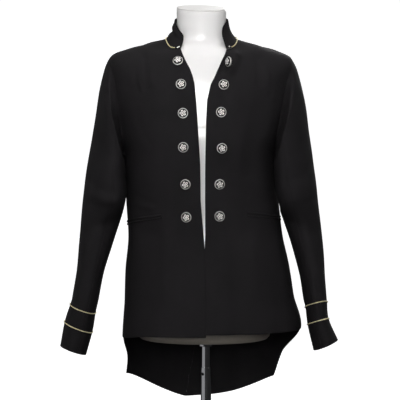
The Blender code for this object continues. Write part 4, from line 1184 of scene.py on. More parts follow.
@dataclass
class Buttons:
    """Domed shank buttons with a rope rim and a plain rosette in relief. A tipped one
    has its own facing and stands off to the front by the second value."""

    coat: CoatBody
    places: dict = field(default_factory=lambda: {
        Side.RIGHT: [(-.0599, 1.4362), (-.0534, 1.3885), (-.0491, 1.3278),
                     (-.0484, 1.2558), (-.0436, 1.1764), (-.0422, 1.1052)],
        Side.LEFT: [(.0492, 1.4345), (.0374, 1.3874), (.0315, 1.3299),
                    (.0333, 1.2537), (.0285, 1.1764), (.0286, 1.1073)]})
    tipped: dict = field(default_factory=lambda: {
        (Side.LEFT, 1): ((-.84, -.52, .14), .0096)})
    radius: float = 0.0110
    seat: float = 0.0004
    dome: float = 0.0030
    rim_height: float = 0.0021
    petals: int = 5
    field_share: float = 0.70
    field_wave: float = 0.035
    field_slope: tuple = (-.04, .03)
    boss_width: float = 0.13
    inner_petals: tuple = (.30, .11)
    outer_petals: tuple = (.53, .11)
    rim_rise: tuple = (.84, .90)
    rim_fall: tuple = (.93, .99)
    petal_relief: float = 0.0014
    rope_strands: int = 30
    sides: int = 84
    rings: int = 44

    def relief(self, share: Array, turn: Array) -> tuple[Array, Array]:
        """Height over the dome and depth of recess by radius share and turn.

        The rosette is a boss and two rings of petals, |cos(n t / 2)| and |sin|, on
        a raised field that ends in a wavy edge; a blackened channel parts it from
        the rim, which is a rope.

        Args:
            share: distance from the middle as a share of the button's radius.
            turn: angle round the button.

        Returns:
            The relief's height in metres and the recess from 0 to 1.
        """
        def bump(centre: float, width: float) -> Array:
            """Bell of the distance from a radius."""
            return np.exp(-((share - centre) / width) ** 2)
        inner = np.abs(np.cos(self.petals * turn / 2)) ** 2.0
        outer = np.abs(np.sin(self.petals * turn / 2)) ** 1.5
        rope = 0.8 + 0.2 * np.cos(self.rope_strands * turn + 9 * share)
        rosette = (bump(0.0, self.boss_width) + inner * bump(*self.inner_petals)
                   + outer * bump(*self.outer_petals))
        field_edge = self.field_share + self.field_wave * np.cos(self.petals * turn)
        raised = 1 - smooth(share, *(field_edge + slope for slope in self.field_slope))
        rim = rope * smooth(share, *self.rim_rise) * (1 - .65 * smooth(share, *self.rim_fall))
        height = self.petal_relief * (.7 * rosette + .8 * raised + .9 * rim)
        recess = 1 - np.clip(raised * (.05 + 1.1 * rosette ** 1.3) + .75 * rim, 0, 1)
        return height, recess

    def build(self, finish: Material) -> list[Piece]:
        """Make and dress the twelve buttons."""
        turn = np.linspace(0, 2 * np.pi, self.sides, endpoint=False)
        share = np.sin(np.linspace(0.03, np.pi / 2, self.rings))[:, None]
        height, recess = self.relief(share, turn[None, :])
        dome = self.rim_height + self.dome * (1 - share ** 2) ** 0.8 + height * (1 - share ** 12)
        under = np.array([[1.0, .6 * self.rim_height], [.93, .1 * self.rim_height], [.30, .0]])
        radii = np.concatenate([share, under[:, :1]]) * self.radius
        heights = np.concatenate([dome, np.repeat(under[:, 1:], self.sides, axis=1)])
        dark = np.concatenate([recess, np.repeat([[.6]] * 3, self.sides, axis=1)])
        rings = np.stack([radii * np.cos(turn), radii * np.sin(turn), heights], axis=-1)
        made = []
        for side in Side:
            for number, (x, z) in enumerate(self.places[side], start=1):
                row, angle = self.coat.place(side, x, z)
                normal = self.coat.outer_normal(side, row, angle)
                faces, lift = self.tipped.get((side, number), (normal, 0.0))
                spot = self.coat.outer(side, row, angle) + normal * self.seat + lift * OUT_OF_FRONT
                normal = Vector(faces)
                turned = np.array(Vector((0, 0, 1)).rotation_difference(normal).to_matrix())
                shaped = rings @ turned.T + spot
                piece = capped_rings(f"metal_button_{side.word}_{number}", shaped, dark)
                made.append(dress(piece, finish, Slot.BUTTON, "form", f"button_{side.word}_{number}"))
        return made


@dataclass
class Welts:
    """Jetted pockets: two narrow rounded lips on each front."""

    coat: CoatBody
    ends: dict = field(default_factory=lambda: {
        "pocket_welt_upper_right": (Side.RIGHT, -.0930, 1.1085, 84.0, 1.0850),
        "pocket_welt_lower_right": (Side.RIGHT, -.0930, 1.1025, 84.0, 1.0790),
        "pocket_welt_upper_left": (Side.LEFT, .0880, 1.1130, 82.0, 1.0960),
        "pocket_welt_lower_left": (Side.LEFT, .0880, 1.1070, 82.0, 1.0900)})
    half_height: float = 0.0024
    thickness: float = 0.0028
    roundness: float = 0.7
    end_reach: float = 1 / 60
    end_tip: float = 0.05
    uv_radius: float = 0.0008
    gap: float = 0.0001
    steps: int = 90
    sides: int = 20

    def build(self, finish: Material) -> list[Piece]:
        """Make and dress the four welts: a flat-backed half round carried along
        the front, from (cosine by half height, sine by thickness)."""
        made = []
        share = np.linspace(0, 1, self.steps)
        turn = np.linspace(0, 2 * np.pi, self.sides, endpoint=False)
        for name, (side, x, z, side_angle, side_z) in self.ends.items():
            first = self.coat.place(side, x, z)[1]
            angles = first + (side_angle - first) * share
            heights = z + (side_z - z) * share
            end = end_taper(share, self.end_reach, self.end_tip)[:, None]
            across = self.half_height * np.cos(turn)[None, :] * end
            lip = np.clip(np.sin(turn), 0, 1)[None, :] ** self.roundness
            out = self.gap + self.thickness * lip * end
            wide = np.broadcast_to(angles[:, None], across.shape)
            rows = self.coat.row_where(side, lambda _row, held=wide: held, heights[:, None] + across)
            points = self.coat.outer(side, rows, wide)
            points = points + out[..., None] * self.coat.outer_normal(side, rows, wide)
            along = lengths_along(points[:, 0])
            uv = np.stack(np.broadcast_arrays(along[:, None], turn[None, :] * self.uv_radius), axis=-1)
            uv = np.concatenate([uv.reshape(-1, 2), uv[0, :1], uv[-1, :1]])
            piece = capped_rings("cloth_" + name, points, uv=uv)
            made.append(dress(piece, finish, Slot.SUITING, "form", name))
        return made


class Loop(NamedTuple):
    """One wire loop: where it lies, its half length and width, and its lean."""

    name: str
    side: Side
    angle: float
    half_length: float
    half_width: float
    lean: float


@dataclass
class HookAndEye:
    """The small wire hook and eye at the collar's two ends."""

    collar: Collar
    loops: list = field(default_factory=lambda: [
        Loop("collar_hook", Side.RIGHT, 41.2, .0033, .0011, 32.0),
        Loop("collar_eye", Side.LEFT, 53.0, .0017, .0013, 0.0)])
    height: float = 0.15
    wire: float = 0.0005
    lift: float = 0.0010
    steps: int = 48
    sides: int = 10

    def build(self, finish: Material) -> list[Piece]:
        """Make and dress both: an ellipse of wire that leans on the collar."""
        made = []
        turn = np.linspace(0, 2 * np.pi, self.steps, endpoint=False)
        for loop in self.loops:
            place = loop.angle if loop.side is Side.LEFT else FULL_TURN - loop.angle
            centre, normal = self.collar.point(np.array([self.height]), np.array([place]))
            level = unit(np.cross((0, 0, 1), normal[0]))
            upright = np.cross(normal[0], level)
            lean = math.radians(loop.lean)
            across = math.cos(lean) * level + math.sin(lean) * upright
            up = math.cos(lean) * upright - math.sin(lean) * level
            path = (centre[0] + self.lift * normal[0]
                    + loop.half_length * np.cos(turn)[:, None] * across
                    + loop.half_width * np.sin(turn)[:, None] * up)
            wire = tube_mesh(f"wire_{loop.name}", path,
                             lambda along, around: self.wire + 0 * along * around,
                             self.sides, True)
            made.append(dress(wire, finish, Slot.BUTTON, "form", loop.name))
        return made


@dataclass
class DressForm:
    """The limbless moulded form: neck, seat under the shoulders and torso."""

    coat: CoatBody
    rings: list = field(default_factory=lambda: [
        FormRing("shoulder end", -.01, .1585, 1.4315, .1035, 1.385, .088, 1.427, 2.25),
        FormRing("arm cap", -.01, .167, 1.392, .109, 1.342, .094, 1.388, 2.25),
        FormRing("chest", -.01, .163, 1.335, .113, 1.297, .098, 1.335, 2.2),
        FormRing("bust", -.01, .152, 1.268, .114, 1.252, .095, 1.268, 2.15),
        FormRing("under bust", -.009, .138, 1.19, .1, 1.185, .084, 1.19, 2.1),
        FormRing("waist", -.008, .127, 1.105, .092, 1.105, .078, 1.105, 2.1),
        FormRing("high hip", -.007, .138, 1.025, .099, 1.025, .092, 1.025, 2.1),
        FormRing("hip", -.006, .148, .945, .105, .945, .104, .945, 2.1),
        FormRing("lower edge", -.0045, .1465, .86, .103, .86, .103, .86, 2.1),
        FormRing("rim", -.0045, .144, .832, .101, .832, .101, .832, 2.1),
        FormRing("underside", -.0045, .139, .827, .096, .827, .096, .827, 2.1)])
    seat_rows: tuple = (0.0, 0.27, 0.53, 0.8)
    seat_drop: float = CLOTH + 0.0008
    seat_fall: float = 0.0026
    seat_ease: float = 0.0035
    neck_x: float = -.010
    neck_w: float = .0535
    neck_y: float = .0500
    neck_top: float = 1.5450
    neck_low: float = 1.4830
    neck_tilt: float = .09
    neck_roll: float = -.025
    neck_flare: float = 1.04
    neck_edge: float = .0012
    cap_thickness: float = .0030
    cap_profile: tuple = ((.960, .10), (.985, .14), (1.0, .35), (1.0, .62), (.99, .86), (.97, 1.0),
                          (.93, 1.04), (.80, 1.12), (.55, 1.25), (.25, 1.32), (.04, 1.34))
    # painted shade: below this height the torso is painted grey-brown for the shade under the coat's hem
    foot_top: float = .8500
    sides: int = 160
    substeps: int = 9

    def outline(self, centre_x: float, half_w: float, front_y: float, back_y: float,
                square: float) -> tuple[Array, Array, Array]:
        """X, Y and sine of a superellipse, from the front round by the left."""
        turn = np.linspace(0, 2 * np.pi, self.sides, endpoint=False)
        sine, cosine = np.sin(turn), np.cos(turn)
        power = 2.0 / square
        x = centre_x + half_w * np.sign(sine) * np.abs(sine) ** power
        y = np.where(cosine > 0, -front_y, back_y) * np.abs(cosine) ** power
        return x, y, np.abs(sine)

    def neck_ring(self, scale: float, z: float) -> Array:
        """A neck ring, whose plane leans forward as the neck's top does."""
        x, y, _sine = self.outline(self.neck_x, self.neck_w * scale, self.neck_y * scale,
                                   self.neck_y * scale, 2.0)
        return np.stack([x, y, z + self.neck_tilt * y + self.neck_roll * (x - self.neck_x)], axis=1)

    def seat_ring(self, row: float) -> Array:
        """Ring under a row of the coat's shoulders: it carries the cloth along their
        ridge, clears it by seat_ease |cos| in front and behind, and falls away from
        it by seat_fall with each row."""
        turn = np.linspace(0, FULL_TURN, self.sides, endpoint=False)
        angle = np.minimum(turn, FULL_TURN - turn)
        rows = np.full(self.sides, row)
        drop = self.seat_drop + self.seat_fall * row + self.seat_ease * np.abs(np.cos(np.radians(angle)))
        ring = [self.coat.bare(side, rows, angle)
                - drop[:, None] * self.coat.normal(self.coat.bare, side, rows, angle) for side in Side]
        return np.where((turn <= HALF_TURN)[:, None], ring[1], ring[0])

    def body_ring(self, row: FormRing) -> Array:
        """A ring of the torso: its height goes from end to side with sine squared."""
        x, y, sine = self.outline(row.centre_x, row.half_w, row.front_y, row.back_y, row.square)
        end_z = np.where(y < 0, row.front_z, row.back_z)
        return np.stack([x, y, end_z + (row.side_z - end_z) * sine ** 2], axis=1)

    def build(self, shell: Material, cap: Material,
              foot: Material) -> list[Piece]:
        """Make and dress the torso, whose lowest band is painted grey-brown as the shade under the coat's
        hem, and the neck cap.
        """
        knots = [self.neck_ring(1.0, self.neck_top - self.neck_edge),
                 self.neck_ring(1.0, (self.neck_top + self.neck_low) / 2),
                 self.neck_ring(self.neck_flare, self.neck_low)]
        knots += [self.seat_ring(row) for row in self.seat_rows]
        knots += [self.body_ring(row) for row in self.rings]
        knots = np.array(knots)
        last = len(knots) - 1
        places = np.linspace(0, last - 1, (last - 1) * self.substeps + 1)
        edge = self.neck_ring(1 - .35 * self.neck_edge / self.neck_w, self.neck_top - .3 * self.neck_edge)
        lip = self.neck_ring(1 - self.neck_edge / self.neck_w, self.neck_top)
        rings = np.concatenate([[lip, edge], spline(knots, places), knots[last:]])
        torso = capped_rings("moulded_torso", rings)
        sharpen(torso)
        centres = np.zeros(3 * len(torso.data.polygons))
        torso.data.polygons.foreach_get("center", centres)
        # painted shade: faces below that height take the grey-brown second material
        in_painted_shade = (centres[2::3] < self.foot_top).astype(np.int32)
        cap_rings = [self.neck_ring(width, self.neck_top + self.cap_thickness * rise)
                     for width, rise in self.cap_profile]
        disc = capped_rings("neck_cap", np.array(cap_rings[::-1]))
        made = [dress(torso, shell, Slot.SHELL, "form", "form_torso"),
                dress(disc, cap, Slot.CAP, "form", "form_neck_cap")]
        # the grey-brown painted shade goes on as the torso's second material
        torso.data.materials.append(foot)
        torso.data.polygons.foreach_set("material_index", in_painted_shade)
        return made


def turned(name: str, profile: list, sides: int, closed: bool) -> Piece:
    """A solid turned about Z from (radius, z) pairs.

    Args:
        name: the piece's name.
        profile: pairs of radius and height.
        sides: points round.
        closed: whether the profile is a loop, as on a tube with a bore.

    Returns:
        The solid's object.
    """
    turn = np.linspace(0, 2 * np.pi, sides, endpoint=False)
    shape = np.array(profile)
    rings = np.stack([shape[:, :1] * np.cos(turn), shape[:, :1] * np.sin(turn),
                      np.repeat(shape[:, 1:], sides, axis=1)], axis=-1)
    if not closed:
        return capped_rings(name, rings)
    return mesh_object(name, rings.reshape(-1, 3), grid_faces(len(shape), sides, wrap=True, loop=True))


def rounded(corner: tuple, before: tuple, after: tuple, radius: float, steps: int = 4) -> list:
    """A profile's corner as a quadratic curve from a radius before it to one after."""
    corner, before, after = (np.array(p, float) for p in (corner, before, after))
    start = corner + (before - corner) * radius / np.linalg.norm(before - corner)
    end = corner + (after - corner) * radius / np.linalg.norm(after - corner)
    t = np.linspace(0, 1, steps + 1)[:, None]
    return ((1 - t) ** 2 * start + 2 * t * (1 - t) * corner + t ** 2 * end).tolist()


def rounded_profile(corners: list, radii: list, closed: bool) -> list:
    """A profile through corners, each rounded by its own radius (0 keeps it sharp)."""
    result = []
    count = len(corners)
    for k, (corner, radius) in enumerate(zip(corners, radii)):
        is_end = not closed and k in (0, count - 1)
        if radius == 0 or is_end:
            result.append(list(corner))
        else:
            result += rounded(corner, corners[k - 1], corners[(k + 1) % count], radius)
    return result


@dataclass
class PoleStand:
    """Base, two tubes, flange and the height-setting hole."""

    inner_radius: float = .0103
    inner_bore: float = .0094
    outer_radius: float = .0116
    outer_bore: float = .01075
    outer_top: float = .7617
    outer_foot: float = .0045
    inner_top: float = .8267
    inner_foot: float = .4000
    tube_edge: float = .0003
    form_under: float = .827
    form_gap: float = .0003
    flange_radius: float = .045
    flange_disc: float = .006
    boss_radius: float = .017
    boss_drop: float = .012
    base_radius: float = .160
    base_foot: float = .1576
    base_lip: float = .0021
    base_edge: float = .006
    base_middle: float = .010
    socket_radius: float = .021
    socket_top: float = .040
    socket_bore: float = .0120
    socket_floor: float = .0042
    flare_radius: float = .0336
    flare_z: float = .014
    hole_radius: float = .0035
    hole_z: float = .7470
    hole_turn: float = 38.0
    sides: int = 72

    def pierce(self, tube: Piece) -> None:
        """Cut the height-setting hole through the tube's front wall."""
        turn = math.radians(-self.hole_turn)
        bpy.ops.mesh.primitive_cylinder_add(vertices=32, radius=self.hole_radius,
                                            depth=2 * self.outer_radius)
        cutter = bpy.context.object
        cutter.rotation_euler = (math.radians(90), 0, turn)
        cutter.location = (self.outer_radius * math.sin(turn), -self.outer_radius * math.cos(turn),
                           self.hole_z)
        cut = tube.modifiers.new("height hole", "BOOLEAN")
        cut.operation = "DIFFERENCE"
        cut.solver = "EXACT"
        cut.object = cutter
        bpy.context.view_layer.update()
        pierced = bpy.data.meshes.new_from_object(tube.evaluated_get(bpy.context.evaluated_depsgraph_get()))
        tube.modifiers.clear()
        tube.data = pierced
        bpy.data.objects.remove(cutter)

    def tube(self, name: str, radius: float, bore: float, foot: float, top: float) -> Piece:
        """Make a pierced tube, whose upper rims are rounded."""
        corners = [(radius, foot), (radius, top), (bore, top), (bore, foot)]
        profile = rounded_profile(corners, [0, self.tube_edge, self.tube_edge, 0], True)
        made = turned(name, profile, self.sides, True)
        self.pierce(made)
        sharpen(made)
        return made

    def build(self, chrome: Material) -> list[Piece]:
        """Make and dress the tubes, the flange and the base."""
        outer = self.tube("chrome_outer_tube", self.outer_radius, self.outer_bore,
                          self.outer_foot, self.outer_top)
        inner = self.tube("chrome_inner_tube", self.inner_radius, self.inner_bore,
                          self.inner_foot, self.inner_top)
        under = self.form_under - self.form_gap
        disc = under - self.flange_disc
        foot = disc - self.boss_drop
        flange = turned("chrome_flange", rounded_profile(
            [(self.outer_bore, under), (self.flange_radius, under), (self.flange_radius, disc),
             (self.boss_radius, disc), (self.boss_radius, foot), (self.outer_bore, foot)],
            [0, .001, .002, .002, .001, 0], True), self.sides, True)
        base = turned("chrome_base", rounded_profile(
            [(self.base_foot, 0.0), (self.base_radius, self.base_lip), (self.base_foot, self.base_edge),
             (self.flare_radius, self.base_middle), (self.socket_radius, self.flare_z),
             (self.socket_radius, self.socket_top), (self.socket_bore, self.socket_top),
             (self.socket_bore, self.socket_floor)],
            [0, .0006, .001, .008, .003, .0012, .0006, 0], False), 144, False)
        for piece in (flange, base):
            sharpen(piece)
        return [dress(outer, chrome, Slot.CHROME, "stand", "pole_outer"),
                dress(inner, chrome, Slot.CHROME, "form", "pole_inner"),
                dress(flange, chrome, Slot.CHROME, "form", "form_flange"),
                dress(base, chrome, Slot.CHROME, "stand", "stand_base")]


def linear(colour: str) -> tuple[float, float, float, float]:
    """Linear colour from an sRGB hex value, by the sRGB curve."""
    channels = [int(colour[k:k + 2], 16) / 255 for k in (1, 3, 5)]
    return (*(c / 12.92 if c <= .04045 else ((c + .055) / 1.055) ** 2.4 for c in channels), 1.0)


def add_node(tree: NodeTree, kind: str, settings: dict | None = None,
             links: dict | None = None) -> Node:
    """Add one node with its settings and links.

    Args:
        tree: the material's nodes.
        kind: Blender's name of the node.
        settings: values by property name, or by input name or number.
        links: sockets to join, by input name or number.

    Returns:
        The new node.
    """
    node = tree.nodes.new(kind)
    for key, value in (settings or {}).items():
        if isinstance(key, str) and hasattr(node, key):
            setattr(node, key, value)
        else:
            node.inputs[key].default_value = value
    for key, socket in (links or {}).items():
        tree.links.new(socket, node.inputs[key])
    return node


def start_material(name: str) -> tuple[Material, NodeTree, Node]:
    """A new material, its nodes and its Principled shader."""
    result = bpy.data.materials.new(name)
    result.use_nodes = True
    tree = result.node_tree
    return result, tree, tree.nodes["Principled BSDF"]


def noise(tree: NodeTree, place: NodeSocket, scale: float, detail: float,
          roughness: float = .5) -> NodeSocket:
    """Value of a noise texture at a place, from its scale, detail and roughness."""
    node = add_node(tree, "ShaderNodeTexNoise", {"Scale": scale, "Detail": detail,
                                                 "Roughness": roughness}, {"Vector": place})
    return node.outputs["Fac"]


def paint(tree: NodeTree, shader: Node, low: str, high: str,
          share: NodeSocket) -> None:
    """Give a shader a base colour between two tones, by a share from 0 to 1."""
    colour = add_node(tree, "ShaderNodeMix", {"data_type": "RGBA", 6: linear(low), 7: linear(high)},
                      {0: share})
    tree.links.new(colour.outputs[2], shader.inputs["Base Color"])


def emboss(tree: NodeTree, shader: Node, strength: float, distance: float,
           height: NodeSocket) -> None:
    """Give a shader fine relief: its strength, its depth in metres and its height."""
    bump = add_node(tree, "ShaderNodeBump", {"Strength": strength, "Distance": distance},
                    {"Height": height})
    tree.links.new(bump.outputs[0], shader.inputs["Normal"])


@dataclass(frozen=True)
class Suiting:
    """Black polyester-viscose suiting, a fine 2/2 twill, pressed: matt, with a
    faint diagonal line and slight unevenness of the dye. A real twill line is
    about 0.6 mm; it is drawn at 1.6 mm, the finest that a close view resolves."""

    ground: str = "#141314"
    raised: str = "#1f1d1f"
    twill_pitch: float = .0016
    roughness: float = .78
    specular: float = .10
    relief: float = .00010

    def build(self) -> Material:
        """Twill on the cloth's own lengths, dye by noise on object coordinates."""
        result, tree, shader = start_material("black woven suiting")
        place = add_node(tree, "ShaderNodeTexCoord")
        twill = add_node(tree, "ShaderNodeTexWave", {
            "bands_direction": "DIAGONAL", "Scale": .444 / self.twill_pitch, "Distortion": .6,
            "Detail": 1.0, "Detail Scale": 2.0}, {"Vector": place.outputs["UV"]})
        dye = noise(tree, place.outputs["Object"], 11.0, 4.0, .6)
        slub = noise(tree, place.outputs["UV"], 900.0, 2.0)
        share = add_node(tree, "ShaderNodeMath", {"operation": "MULTIPLY_ADD", 1: .45},
                         {0: twill.outputs["Fac"], 2: dye})
        ramp = add_node(tree, "ShaderNodeMapRange", {"From Min": .30, "From Max": 1.10},
                        {"Value": share.outputs[0]})
        paint(tree, shader, self.ground, self.raised, ramp.outputs[0])
        thread = add_node(tree, "ShaderNodeMath", {"operation": "MULTIPLY_ADD", 1: .35},
                          {0: slub, 2: twill.outputs["Fac"]})
        emboss(tree, shader, .5, self.relief, thread.outputs[0])
        shader.inputs["Roughness"].default_value = self.roughness
        shader.inputs["Specular IOR Level"].default_value = self.specular
        return result


@dataclass(frozen=True)
class GoldCord:
    """Pale gold metallised yarn, two-ply twisted: satin glints between darker
    grooves, uneven along its length."""

    light: str = "#f8eec6"
    deep: str = "#c8b97e"
    metallic: float = .15
    roughness: float = .42
    yarn_pitch: float = .0007
    relief: float = .00012

    def build(self) -> Material:
        """Fine yarn lines across the cord, tone by noise."""
        result, tree, shader = start_material("pale gold twisted cord")
        place = add_node(tree, "ShaderNodeTexCoord")
        yarn = add_node(tree, "ShaderNodeTexWave", {
            "bands_direction": "DIAGONAL", "Scale": .444 / self.yarn_pitch, "Distortion": 1.5},
            {"Vector": place.outputs["UV"]})
        tone = noise(tree, place.outputs["Object"], 70.0, 3.0)
        share = add_node(tree, "ShaderNodeMath", {"operation": "MULTIPLY_ADD", 1: .4},
                         {0: yarn.outputs["Fac"], 2: tone})
        ramp = add_node(tree, "ShaderNodeMapRange", {"From Min": .35, "From Max": .95},
                        {"Value": share.outputs[0]})
        paint(tree, shader, self.deep, self.light, ramp.outputs[0])
        emboss(tree, shader, .6, self.relief, yarn.outputs["Fac"])
        shader.inputs["Metallic"].default_value = self.metallic
        shader.inputs["Roughness"].default_value = self.roughness
        return result


@dataclass(frozen=True)
class EmbossedMetal:
    """Silver-plated brass, die-struck and antiqued: bright worn high places over
    blackened recesses."""

    bright: str = "#fbf9f5"
    dark: str = "#0c0b0b"
    roughness: float = .30
    recess_roughness: float = .60
    metallic: float = .45

    def build(self) -> Material:
        """Tone and roughness by the relief's recess, tarnish by noise."""
        result, tree, shader = start_material("antiqued silver plate")
        place = add_node(tree, "ShaderNodeTexCoord")
        recess = add_node(tree, "ShaderNodeAttribute", {"attribute_name": "recess"})
        tarnish = noise(tree, place.outputs["Object"], 900.0, 3.0)
        share = add_node(tree, "ShaderNodeMath", {"operation": "MULTIPLY_ADD", 1: .35, 2: -.17},
                         {0: tarnish})
        depth = add_node(tree, "ShaderNodeMath", {"operation": "ADD", "use_clamp": True},
                         {0: recess.outputs["Fac"], 1: share.outputs[0]})
        ramp = add_node(tree, "ShaderNodeMapRange", {"From Min": .50, "From Max": .78},
                        {"Value": depth.outputs[0]})
        paint(tree, shader, self.bright, self.dark, ramp.outputs[0])
        rough = add_node(tree, "ShaderNodeMapRange", {"To Min": self.roughness,
                                                      "To Max": self.recess_roughness},
                         {"Value": ramp.outputs[0]})
        tree.links.new(rough.outputs[0], shader.inputs["Roughness"])
        shader.inputs["Metallic"].default_value = self.metallic
        return result


@dataclass(frozen=True)
class MouldedShell:
    """Glass-fibre shell with a sprayed white gloss coat: soft reflections that
    waver slightly, as a sprayed coat levels unevenly."""

    name: str = "gloss white moulded shell"
    white: str = "#efedec"
    shade: str = "#e6e4e3"
    roughness: float = .34
    coat: float = .35
    ripple: float = .00012

    def build(self) -> Material:
        """Tone by slow noise, ripple by a finer one at about 6 mm."""
        result, tree, shader = start_material(self.name)
        place = add_node(tree, "ShaderNodeTexCoord")
        paint(tree, shader, self.shade, self.white, noise(tree, place.outputs["Object"], 5.0, 2.0))
        emboss(tree, shader, .25, self.ripple, noise(tree, place.outputs["Object"], 160.0, 1.0))
        shader.inputs["Roughness"].default_value = self.roughness
        shader.inputs["Coat Weight"].default_value = self.coat
        shader.inputs["Coat Roughness"].default_value = .08
        return result


@dataclass(frozen=True)
class ChromePlate:
    """Chromed steel tube and pressing: mirror bright, cool, with faint handling
    smears that lift its roughness."""

    colour: str = "#c4c5c9"
    roughness: float = .06
    smear: float = .16

    def build(self) -> Material:
        """Roughness by stretched noise."""
        result, tree, shader = start_material("chrome-plated steel")
        place = add_node(tree, "ShaderNodeTexCoord")
        stretch = add_node(tree, "ShaderNodeMapping", {"Scale": (60.0, 60.0, 9.0)},
                           {"Vector": place.outputs["Object"]})
        smear = noise(tree, stretch.outputs[0], 1.0, 4.0)
        rough = add_node(tree, "ShaderNodeMapRange", {"From Min": .45, "From Max": .8,
                                                      "To Min": self.roughness, "To Max": self.smear},
                         {"Value": smear})
        tree.links.new(rough.outputs[0], shader.inputs["Roughness"])
        shader.inputs["Base Color"].default_value = linear(self.colour)
        shader.inputs["Metallic"].default_value = 1.0
        return result


@dataclass(frozen=True)
class StudioFloor:
    """Matt white floor, lit from below like a light table: it is seen white, with a
    faint shadow under the stand, and throws hardly any light back up."""

    seen: str = "#ececec"
    bright: str = "#eeeeee"
    thrown: str = "#303030"
    glow: float = .74
    half: float = 60.0

    def build(self) -> Piece:
        """A large plane under the stand."""
        result, tree, shader = start_material("matt white floor")
        place = add_node(tree, "ShaderNodeTexCoord")
        ray = add_node(tree, "ShaderNodeLightPath")
        tone = noise(tree, place.outputs["Object"], .4, 1.0)
        white = add_node(tree, "ShaderNodeMix", {"data_type": "RGBA", 6: linear(self.seen),
                                                 7: linear(self.bright)}, {0: tone})
        colour = add_node(tree, "ShaderNodeMix", {"data_type": "RGBA", 6: linear(self.thrown)},
                          {0: ray.outputs["Is Camera Ray"], 7: white.outputs[2]})
        tree.links.new(colour.outputs[2], shader.inputs["Base Color"])
        glow = add_node(tree, "ShaderNodeMath", {"operation": "MULTIPLY", 1: self.glow},
                        {0: ray.outputs["Is Camera Ray"]})
        shader.inputs["Emission Color"].default_value = (1.0, 1.0, 1.0, 1.0)
        tree.links.new(glow.outputs[0], shader.inputs["Emission Strength"])
        shader.inputs["Roughness"].default_value = .95
        shader.inputs["Specular IOR Level"].default_value = .1
        h = self.half
        mesh = bpy.data.meshes.new("floor")
        mesh.from_pydata([(-h, -h, 0), (h, -h, 0), (h, h, 0), (-h, h, 0)], [], [(0, 1, 2, 3)])
        floor = bpy.data.objects.new("floor", mesh)
        floor.data.materials.append(result)
        bpy.context.scene.collection.objects.link(floor)
        return floor


class SoftBox(NamedTuple):
    """One soft light: place, aim, width, height, power and spread in degrees.

    One that lights no matt surface only gives metal and gloss something to reflect."""

    name: str
    place: tuple
    aim: tuple
    width: float
    height: float
    power: float
    spread: float = 180.0
    lights_matt: bool = True


@dataclass
class Studio:
    """Camera, soft lights and world of a cut-out product photograph."""

    camera_at: tuple = (-.013, -5.0, 1.66)
    camera_aim: tuple = (-.013, 0.0, 1.130)
    frame_width: float = .872
    sensor: float = 36.0
    front_strength: float = .26
    back_strength: float = .52
    seen_strength: float = 1.04
    boxes: list = field(default_factory=lambda: [
        SoftBox("key", (-.35, -2.5, 2.55), (0, 0, 1.42), .9, .8, 3.7, 60.0),
        SoftBox("front", (.0, -4.2, 2.0), (0, 0, 1.28), .5, .9, 1.55, 28.0),
        SoftBox("right side", (1.9, -1.6, 1.9), (0, 0, 1.2), .8, 1.0, 7.0),
        SoftBox("glint", (-.5, -3.4, 2.5), (0, 0, 1.3), .9, .5, 15.0, 180.0, False),
        SoftBox("top", (0.0, .3, 3.2), (0, 0, 1.3), 1.2, 1.2, 12.0),
        SoftBox("left strip", (-1.9, -.9, .8), (0, 0, .95), 3.4, 1.4, 5.5),
        SoftBox("back", (.9, 3.4, 2.4), (0, 0, 1.1), 1.4, 1.2, 40.0)])

    def build(self) -> None:
        """Set up the camera, the lights, the world and the colour transform."""
        scene = bpy.context.scene
        data = bpy.data.cameras.new("camera")
        place, aim = Vector(self.camera_at), Vector(self.camera_aim)
        data.sensor_width = self.sensor
        data.lens = self.sensor * (place - aim).length / self.frame_width
        camera = bpy.data.objects.new("camera", data)
        camera.location = place
        camera.rotation_euler = (aim - place).to_track_quat("-Z", "Y").to_euler()
        scene.collection.objects.link(camera)
        scene.camera = camera
        for box in self.boxes:
            lamp = bpy.data.lights.new(box.name, "AREA")
            lamp.shape = "RECTANGLE"
            lamp.size = box.width
            lamp.size_y = box.height
            lamp.energy = box.power
            lamp.spread = math.radians(box.spread)
            light = bpy.data.objects.new(box.name, lamp)
            light.location = box.place
            way = Vector(box.aim) - Vector(box.place)
            light.rotation_euler = way.to_track_quat("-Z", "Y").to_euler()
            light.visible_camera = False
            light.visible_diffuse = box.lights_matt
            scene.collection.objects.link(light)
        scene.world = self.surroundings()
        scene.view_settings.view_transform = "Standard"

    def surroundings(self) -> bpy.types.World:
        """A white world that shines more from behind the coat than from before it."""
        world = bpy.data.worlds.new("studio")
        world.use_nodes = True
        tree = world.node_tree
        place = add_node(tree, "ShaderNodeTexCoord")
        axes = add_node(tree, "ShaderNodeSeparateXYZ", links={0: place.outputs["Generated"]})
        thrown = add_node(tree, "ShaderNodeMapRange", {
            "From Min": -1.0, "To Min": self.front_strength, "To Max": self.back_strength},
            {"Value": axes.outputs["Y"]})
        ray = add_node(tree, "ShaderNodeLightPath")
        strength = add_node(tree, "ShaderNodeMix", {3: self.seen_strength},
                            {0: ray.outputs["Is Camera Ray"], 2: thrown.outputs[0]})
        background = tree.nodes["Background"]
        background.inputs["Color"].default_value = (1.0, 1.0, 1.0, 1.0)
        tree.links.new(strength.outputs[0], background.inputs["Strength"])
        return world


class Cut(NamedTuple):
    """Flat size of a cut piece and the trims sewn to it, in metres."""

    width: float
    length: float
    area: float
    trims: tuple = ()


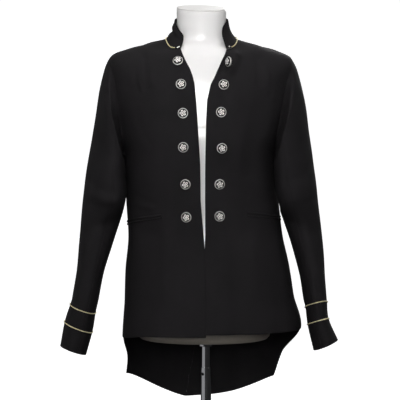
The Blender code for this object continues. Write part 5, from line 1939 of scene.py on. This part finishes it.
@dataclass(frozen=True)
class CuttingList:
    """The cut of every cloth piece, measured along the cloth."""

    cuts: dict = field(default_factory=lambda: {
        "cloth_front_left": Cut(.291, .793, .1431, (
            "cloth_pocket_welt_upper_left", "cloth_pocket_welt_lower_left")),
        "cloth_front_right": Cut(.269, .809, .1455, (
            "cloth_pocket_welt_upper_right", "cloth_pocket_welt_lower_right")),
        "cloth_back_left": Cut(.283, .931, .1805),
        "cloth_back_right": Cut(.244, .897, .1673),
        "cloth_top_sleeve_left": Cut(.361, .628, .1131, (
            "gold_cuff_cord_upper_left", "gold_cuff_cord_lower_left")),
        "cloth_top_sleeve_right": Cut(.366, .644, .1169, (
            "gold_cuff_cord_upper_right", "gold_cuff_cord_lower_right")),
        "cloth_under_sleeve_left": Cut(.191, .529, .0593),
        "cloth_under_sleeve_right": Cut(.192, .539, .0609),
        "cloth_collar": Cut(.361, .057, .0140, ("gold_neck_cord",))})

    def declare(self) -> None:
        """State each piece's cut in the log."""
        for name, cut in self.cuts.items():
            LOG.info("%s is cut %.3f by %.3f m", name, cut.width, cut.length)


def main() -> None:
    """Build the dressed form around the loaded frame and report each piece."""
    logging.basicConfig(level=logging.INFO, format="%(message)s")
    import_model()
    Studio().build()
    StudioFloor().build()
    suiting = Suiting().build()
    gold = GoldCord().build()
    silver = EmbossedMetal().build()
    shell = MouldedShell().build()
    cap = MouldedShell("satin white neck cap", "#e4e2e0", "#dddbd9", .38, .1).build()
    # painted shade: a grey-brown colour for the torso's lowest band, where the coat's hem shades it
    foot = MouldedShell("grey-brown moulded foot", "#7a746c", "#726c64", .40, .1).build()
    chrome = ChromePlate().build()
    coat = CoatBody()
    sleeves = Sleeves(coat)
    collar = Collar(coat)
    cloth = Fronts(coat).build(suiting) + Backs(coat).build(suiting)
    cloth += sleeves.build(suiting) + [collar.build(suiting)]
    Welts(coat).build(suiting)
    Piping(sleeves, collar).build(gold)
    Buttons(coat).build(silver)
    HookAndEye(collar).build(silver)
    DressForm(coat).build(shell, cap, foot)
    PoleStand().build(chrome)
    CuttingList().declare()
    LOG.info("cloth panels: %d", len(cloth))


if __name__ == "__main__":
    main()
